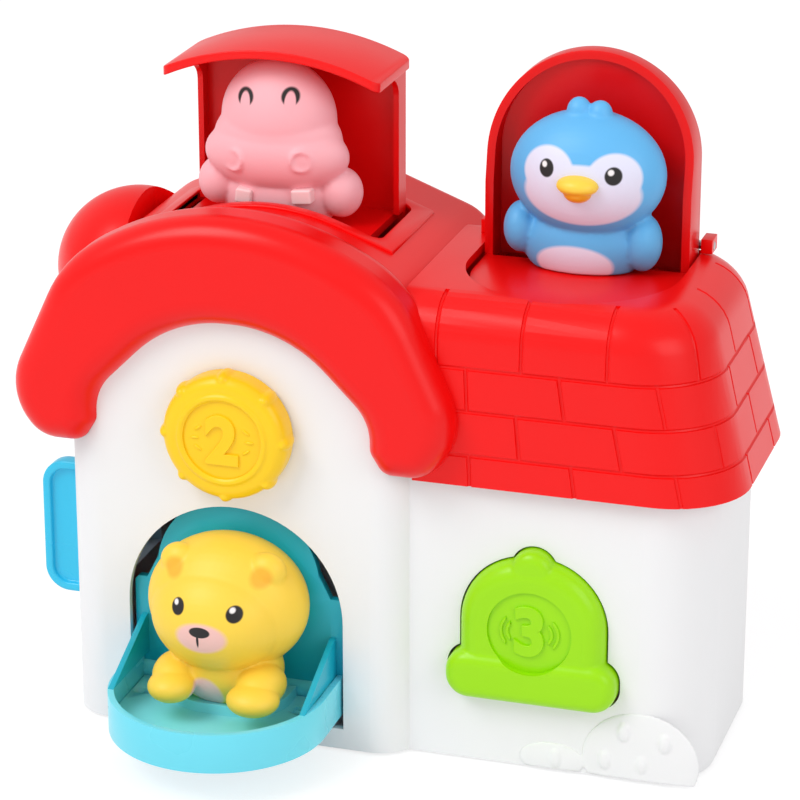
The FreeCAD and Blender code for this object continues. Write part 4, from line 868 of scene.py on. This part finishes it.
def print_spot(material, middle, half_sizes, colour, blur=0.06):
    """A printed oval: colour where the surface lies inside an ellipsoid."""
    nodes, links = material.node_tree.nodes, material.node_tree.links
    under = nodes["Principled BSDF"].inputs["Base Color"].links[0].from_socket
    place = nodes.new("ShaderNodeTexCoord")
    centred = nodes.new("ShaderNodeMapping")
    centred.vector_type = "TEXTURE"
    centred.inputs["Location"].default_value = middle
    centred.inputs["Scale"].default_value = [half * mm for half in half_sizes]
    reach = nodes.new("ShaderNodeVectorMath")
    reach.operation = "LENGTH"
    edge = nodes.new("ShaderNodeMapRange")
    edge.inputs["From Min"].default_value = 1 - blur
    edge.inputs["From Max"].default_value = 1 + blur
    edge.inputs["To Min"].default_value = 1
    edge.inputs["To Max"].default_value = 0
    over = nodes.new("ShaderNodeMix")
    over.data_type = "RGBA"
    over.inputs[7].default_value = colour
    links.new(place.outputs["Object"], centred.inputs["Vector"])
    links.new(centred.outputs["Vector"], reach.inputs[0])
    links.new(reach.outputs["Value"], edge.inputs["Value"])
    links.new(edge.outputs["Result"], over.inputs[0])
    links.new(under, over.inputs[6])
    links.new(over.outputs[2], nodes["Principled BSDF"].inputs["Base Color"])


BLACK = linear(26, 22, 22)
GLINT = linear(244, 240, 240)


def print_eye(material, across, behind, up, half_x, half_z):
    """A printed black eye with a small white glint."""
    print_spot(material, at(across, behind, up), (half_x, 6, half_z), BLACK, 0.08)
    glint = at(across - half_x * 0.3, behind, up + half_z * 0.38)
    print_spot(material, glint, (half_x * 0.34, 6, half_z * 0.32), GLINT, 0.25)


lion_vinyl = moulded_plastic("lion_vinyl", linear(255, 214, 70), 0.46, 0.96)
lion_parts = [
    ball("mane", at(0, -6, 54.5), (28.5, 20.5, 24.5)),
    ball("face", at(-0.8, -11.5, 52.4), (24.3, 20.6, 20.2)),
    ball("body", at(0, -9, 32), (20.5, 14, 14)),
    ball("arm_left", at(-15, -18, 31), (8, 11, 7)),
    ball("arm_right", at(16, -19, 30.5), (8.5, 11, 7)),
    ball("paw_left", at(-14, -26, 29.3), (8.2, 8.5, 5.4)),
    ball("paw_right", at(16, -27.5, 28.7), (9.3, 8.5, 5.4)),
    ball("ear_left", at(-15, -12.5, 70.2), (6.8, 5.2, 6.4)),
    ball("ear_right", at(16.4, -12.5, 70.2), (6.8, 5.2, 6.4)),
]
lion = join("lion", lion_parts)
mould(lion, 0.6, 5)
print_spot(lion_vinyl, at(-14.9, -17.5, 69.9), (3.4, 8, 3.4), linear(250, 184, 50), 0.25)
print_spot(lion_vinyl, at(16.2, -17.5, 69.8), (3.6, 8, 3.5), linear(250, 184, 50), 0.25)
print_spot(lion_vinyl, at(-1, -32, 50.8), (9, 9, 5.4), linear(246, 194, 186), 0.12)
print_spot(lion_vinyl, at(-1.9, -32, 50.2), (0.45, 6, 2.6), BLACK, 0.2)
print_spot(lion_vinyl, at(-1.2, -32, 53.2), (3.7, 6, 1.9), BLACK)
print_spot(lion_vinyl, at(-3.5, -22, 24.5), (6.4, 8, 7.4), linear(240, 196, 190), 0.1)
print_eye(lion_vinyl, -9.9, -29.7, 60.6, 2.5, 2.9)
print_eye(lion_vinyl, 10.3, -29.7, 60.0, 2.9, 3.0)
finish(lion, lion_vinyl, "lion_door", "lion_yellow", "lion_figure")

# ---------------------------------------------------------------------------------------------
# Hippo: a hollow figure of soft pink vinyl with closed printed eyes and raised nostril rings. Two
# paler teeth are set under its snout, and it is fixed on the lift's floor.
# ---------------------------------------------------------------------------------------------

HIPPO_FOOT = 172.7
hippo_vinyl = moulded_plastic("hippo_vinyl", linear(251, 186, 194), 0.5, 0.97)
hippo_parts = [
    ball("head", at(-1.6, 56.7, 208.5), (20.6, 13, 21)),
    ball("brow", at(-1.6, 55.6, 202), (23, 12, 14)),
    ball("snout", at(-1.6, 54, 196.5), (26, 11.6, 13.6)),
    ball("body", at(-1.2, 57.5, 181.5), (21.5, 11.5, 14)),
    ball("arm_left", at(-23.5, 56.5, 184.5), (7.5, 8, 8.5)),
    ball("arm_right", at(20.8, 56.5, 183.8), (7.5, 8, 8.8)),
]
for across, behind, up in ((-14, 44.2, 195.6), (10.4, 43.9, 197.2)):
    bpy.ops.object.select_all(action="DESELECT")
    bpy.ops.mesh.primitive_torus_add(
        location=at(across, behind, up), rotation=(pi / 2, 0, across * 0.03),
        major_radius=3.5 * mm, minor_radius=0.7 * mm, major_segments=32, minor_segments=10,
    )
    hippo_parts.append(settle(bpy.context.object))
hippo = join("hippo", hippo_parts)
flat_foot(hippo, HIPPO_FOOT)
mould(hippo, 0.6, 9)
for across, up in ((-10, 219.4), (6.1, 220.6)):
    print_spot(hippo_vinyl, at(across, 46.5, up - 1.6), (3.1, 7, 3.2), BLACK, 0.1)
    print_spot(hippo_vinyl, at(across, 46.5, up - 3.8), (1.9, 7, 4.0), linear(250, 184, 192), 0.1)
finish(hippo, hippo_vinyl, "hippo_lift", "hippo_pink", "hippo_figure")
tooth_vinyl = moulded_plastic("tooth_vinyl", linear(253, 214, 216), 0.45, 0.98)
teeth = []
for across, up, half, tilt in ((-11.2, 182.6, 2.9, -0.1), (9.8, 184, 3.6, 0.1)):
    tooth = soft_block(
        "tooth", at(across - half, 45, up - 2.6), at(across + half, 51, up + 2.6), 0.9, 0.8,
        lambda edge: True,
    )
    select_only(tooth)
    bpy.ops.transform.rotate(value=tilt, orient_axis="Y", center_override=at(across, 48, up))
    teeth.append(settle(tooth))
teeth = join("hippo_teeth", teeth)
finish(smooth(teeth, 50), tooth_vinyl, "hippo_lift", "hippo_pink")

# ---------------------------------------------------------------------------------------------
# Penguin: a hollow figure of soft blue vinyl with a printed white mask and belly, and two tufts on
# its head. Its beak is a harder yellow piece, and it is fixed on the hatch's floor.
# ---------------------------------------------------------------------------------------------

PENGUIN_FOOT = 163.2
penguin_vinyl = moulded_plastic("penguin_vinyl", linear(98, 184, 240), 0.46, 0.95)
penguin_parts = [
    ball("head", at(106.5, 62, 197), (26.9, 17.5, 21.8)),
    ball("body", at(105, 63, 172), (21.5, 12, 15)),
    ball("wing_left", at(83.5, 62, 176), (6, 8, 9)),
    ball("wing_right", at(126, 62, 174), (6.5, 8, 10)),
    ball("tuft_left", at(103.2, 61, 218.5), (4.2, 4, 4.8)),
    ball("tuft_right", at(110.5, 61, 217.8), (4.2, 4, 4.8)),
]
penguin = join("penguin", penguin_parts)
flat_foot(penguin, PENGUIN_FOOT)
mould(penguin, 0.7, 4)
mask_white = linear(226, 226, 246)
print_spot(penguin_vinyl, at(97, 50, 200.5), (9.4, 13, 8.7), mask_white, 0.05)
print_spot(penguin_vinyl, at(118.5, 50, 199.5), (9.3, 13, 8.6), mask_white, 0.05)
print_spot(penguin_vinyl, at(107.8, 50, 193.5), (20, 14, 11.2), mask_white, 0.04)
print_spot(penguin_vinyl, at(104, 50, 165), (16, 9, 8.8), mask_white, 0.06)
print_eye(penguin_vinyl, 96, 46.1, 202, 2.6, 3.1)
print_eye(penguin_vinyl, 118.9, 46.2, 200.9, 2.9, 3.1)
finish(penguin, penguin_vinyl, "penguin_hatch", "penguin_blue", "penguin_figure")

beak_yellow = moulded_plastic("beak_yellow", linear(255, 214, 70), 0.4)
print_spot(beak_yellow, at(107.3, 40, 192.2), (9, 9, 3.4), linear(238, 160, 30), 0.3)
beak = join(
    "penguin_beak",
    [
        ball("upper", at(107.1, 45, 197.2), (7.2, 5.5, 3.6), 40, 20),
        ball("lower", at(107.2, 45, 194.6), (4.8, 4.2, 3.2), 40, 20),
    ],
)
mould(beak, 0.4, 2)
finish(beak, beak_yellow, "penguin_hatch", "yellow")

# ---------------------------------------------------------------------------------------------
# Small hardware: hinge pins, lift rails, springs and screws of plain drawn steel, which hold and
# move the pieces from inside. Soft rubber feet are set under the base plate.
# ---------------------------------------------------------------------------------------------

steel = moulded_plastic("drawn_steel", linear(176, 178, 182), 0.3, 0.85)
steel.node_tree.nodes["Principled BSDF"].inputs["Metallic"].default_value = 1
rubber = moulded_plastic("foot_rubber", linear(60, 60, 62), 0.7, 0.8)
finish_nodes(
    steel,
    "case_screws", "lion_hinge_pin", "lion_hinge_spring", "lift_rails", "lift_spring",
    "penguin_hinge_pin", "penguin_hinge_spring", "knob_spring", "bell_spring", "slider_spring",
)
finish_nodes(rubber, "rubber_feet")
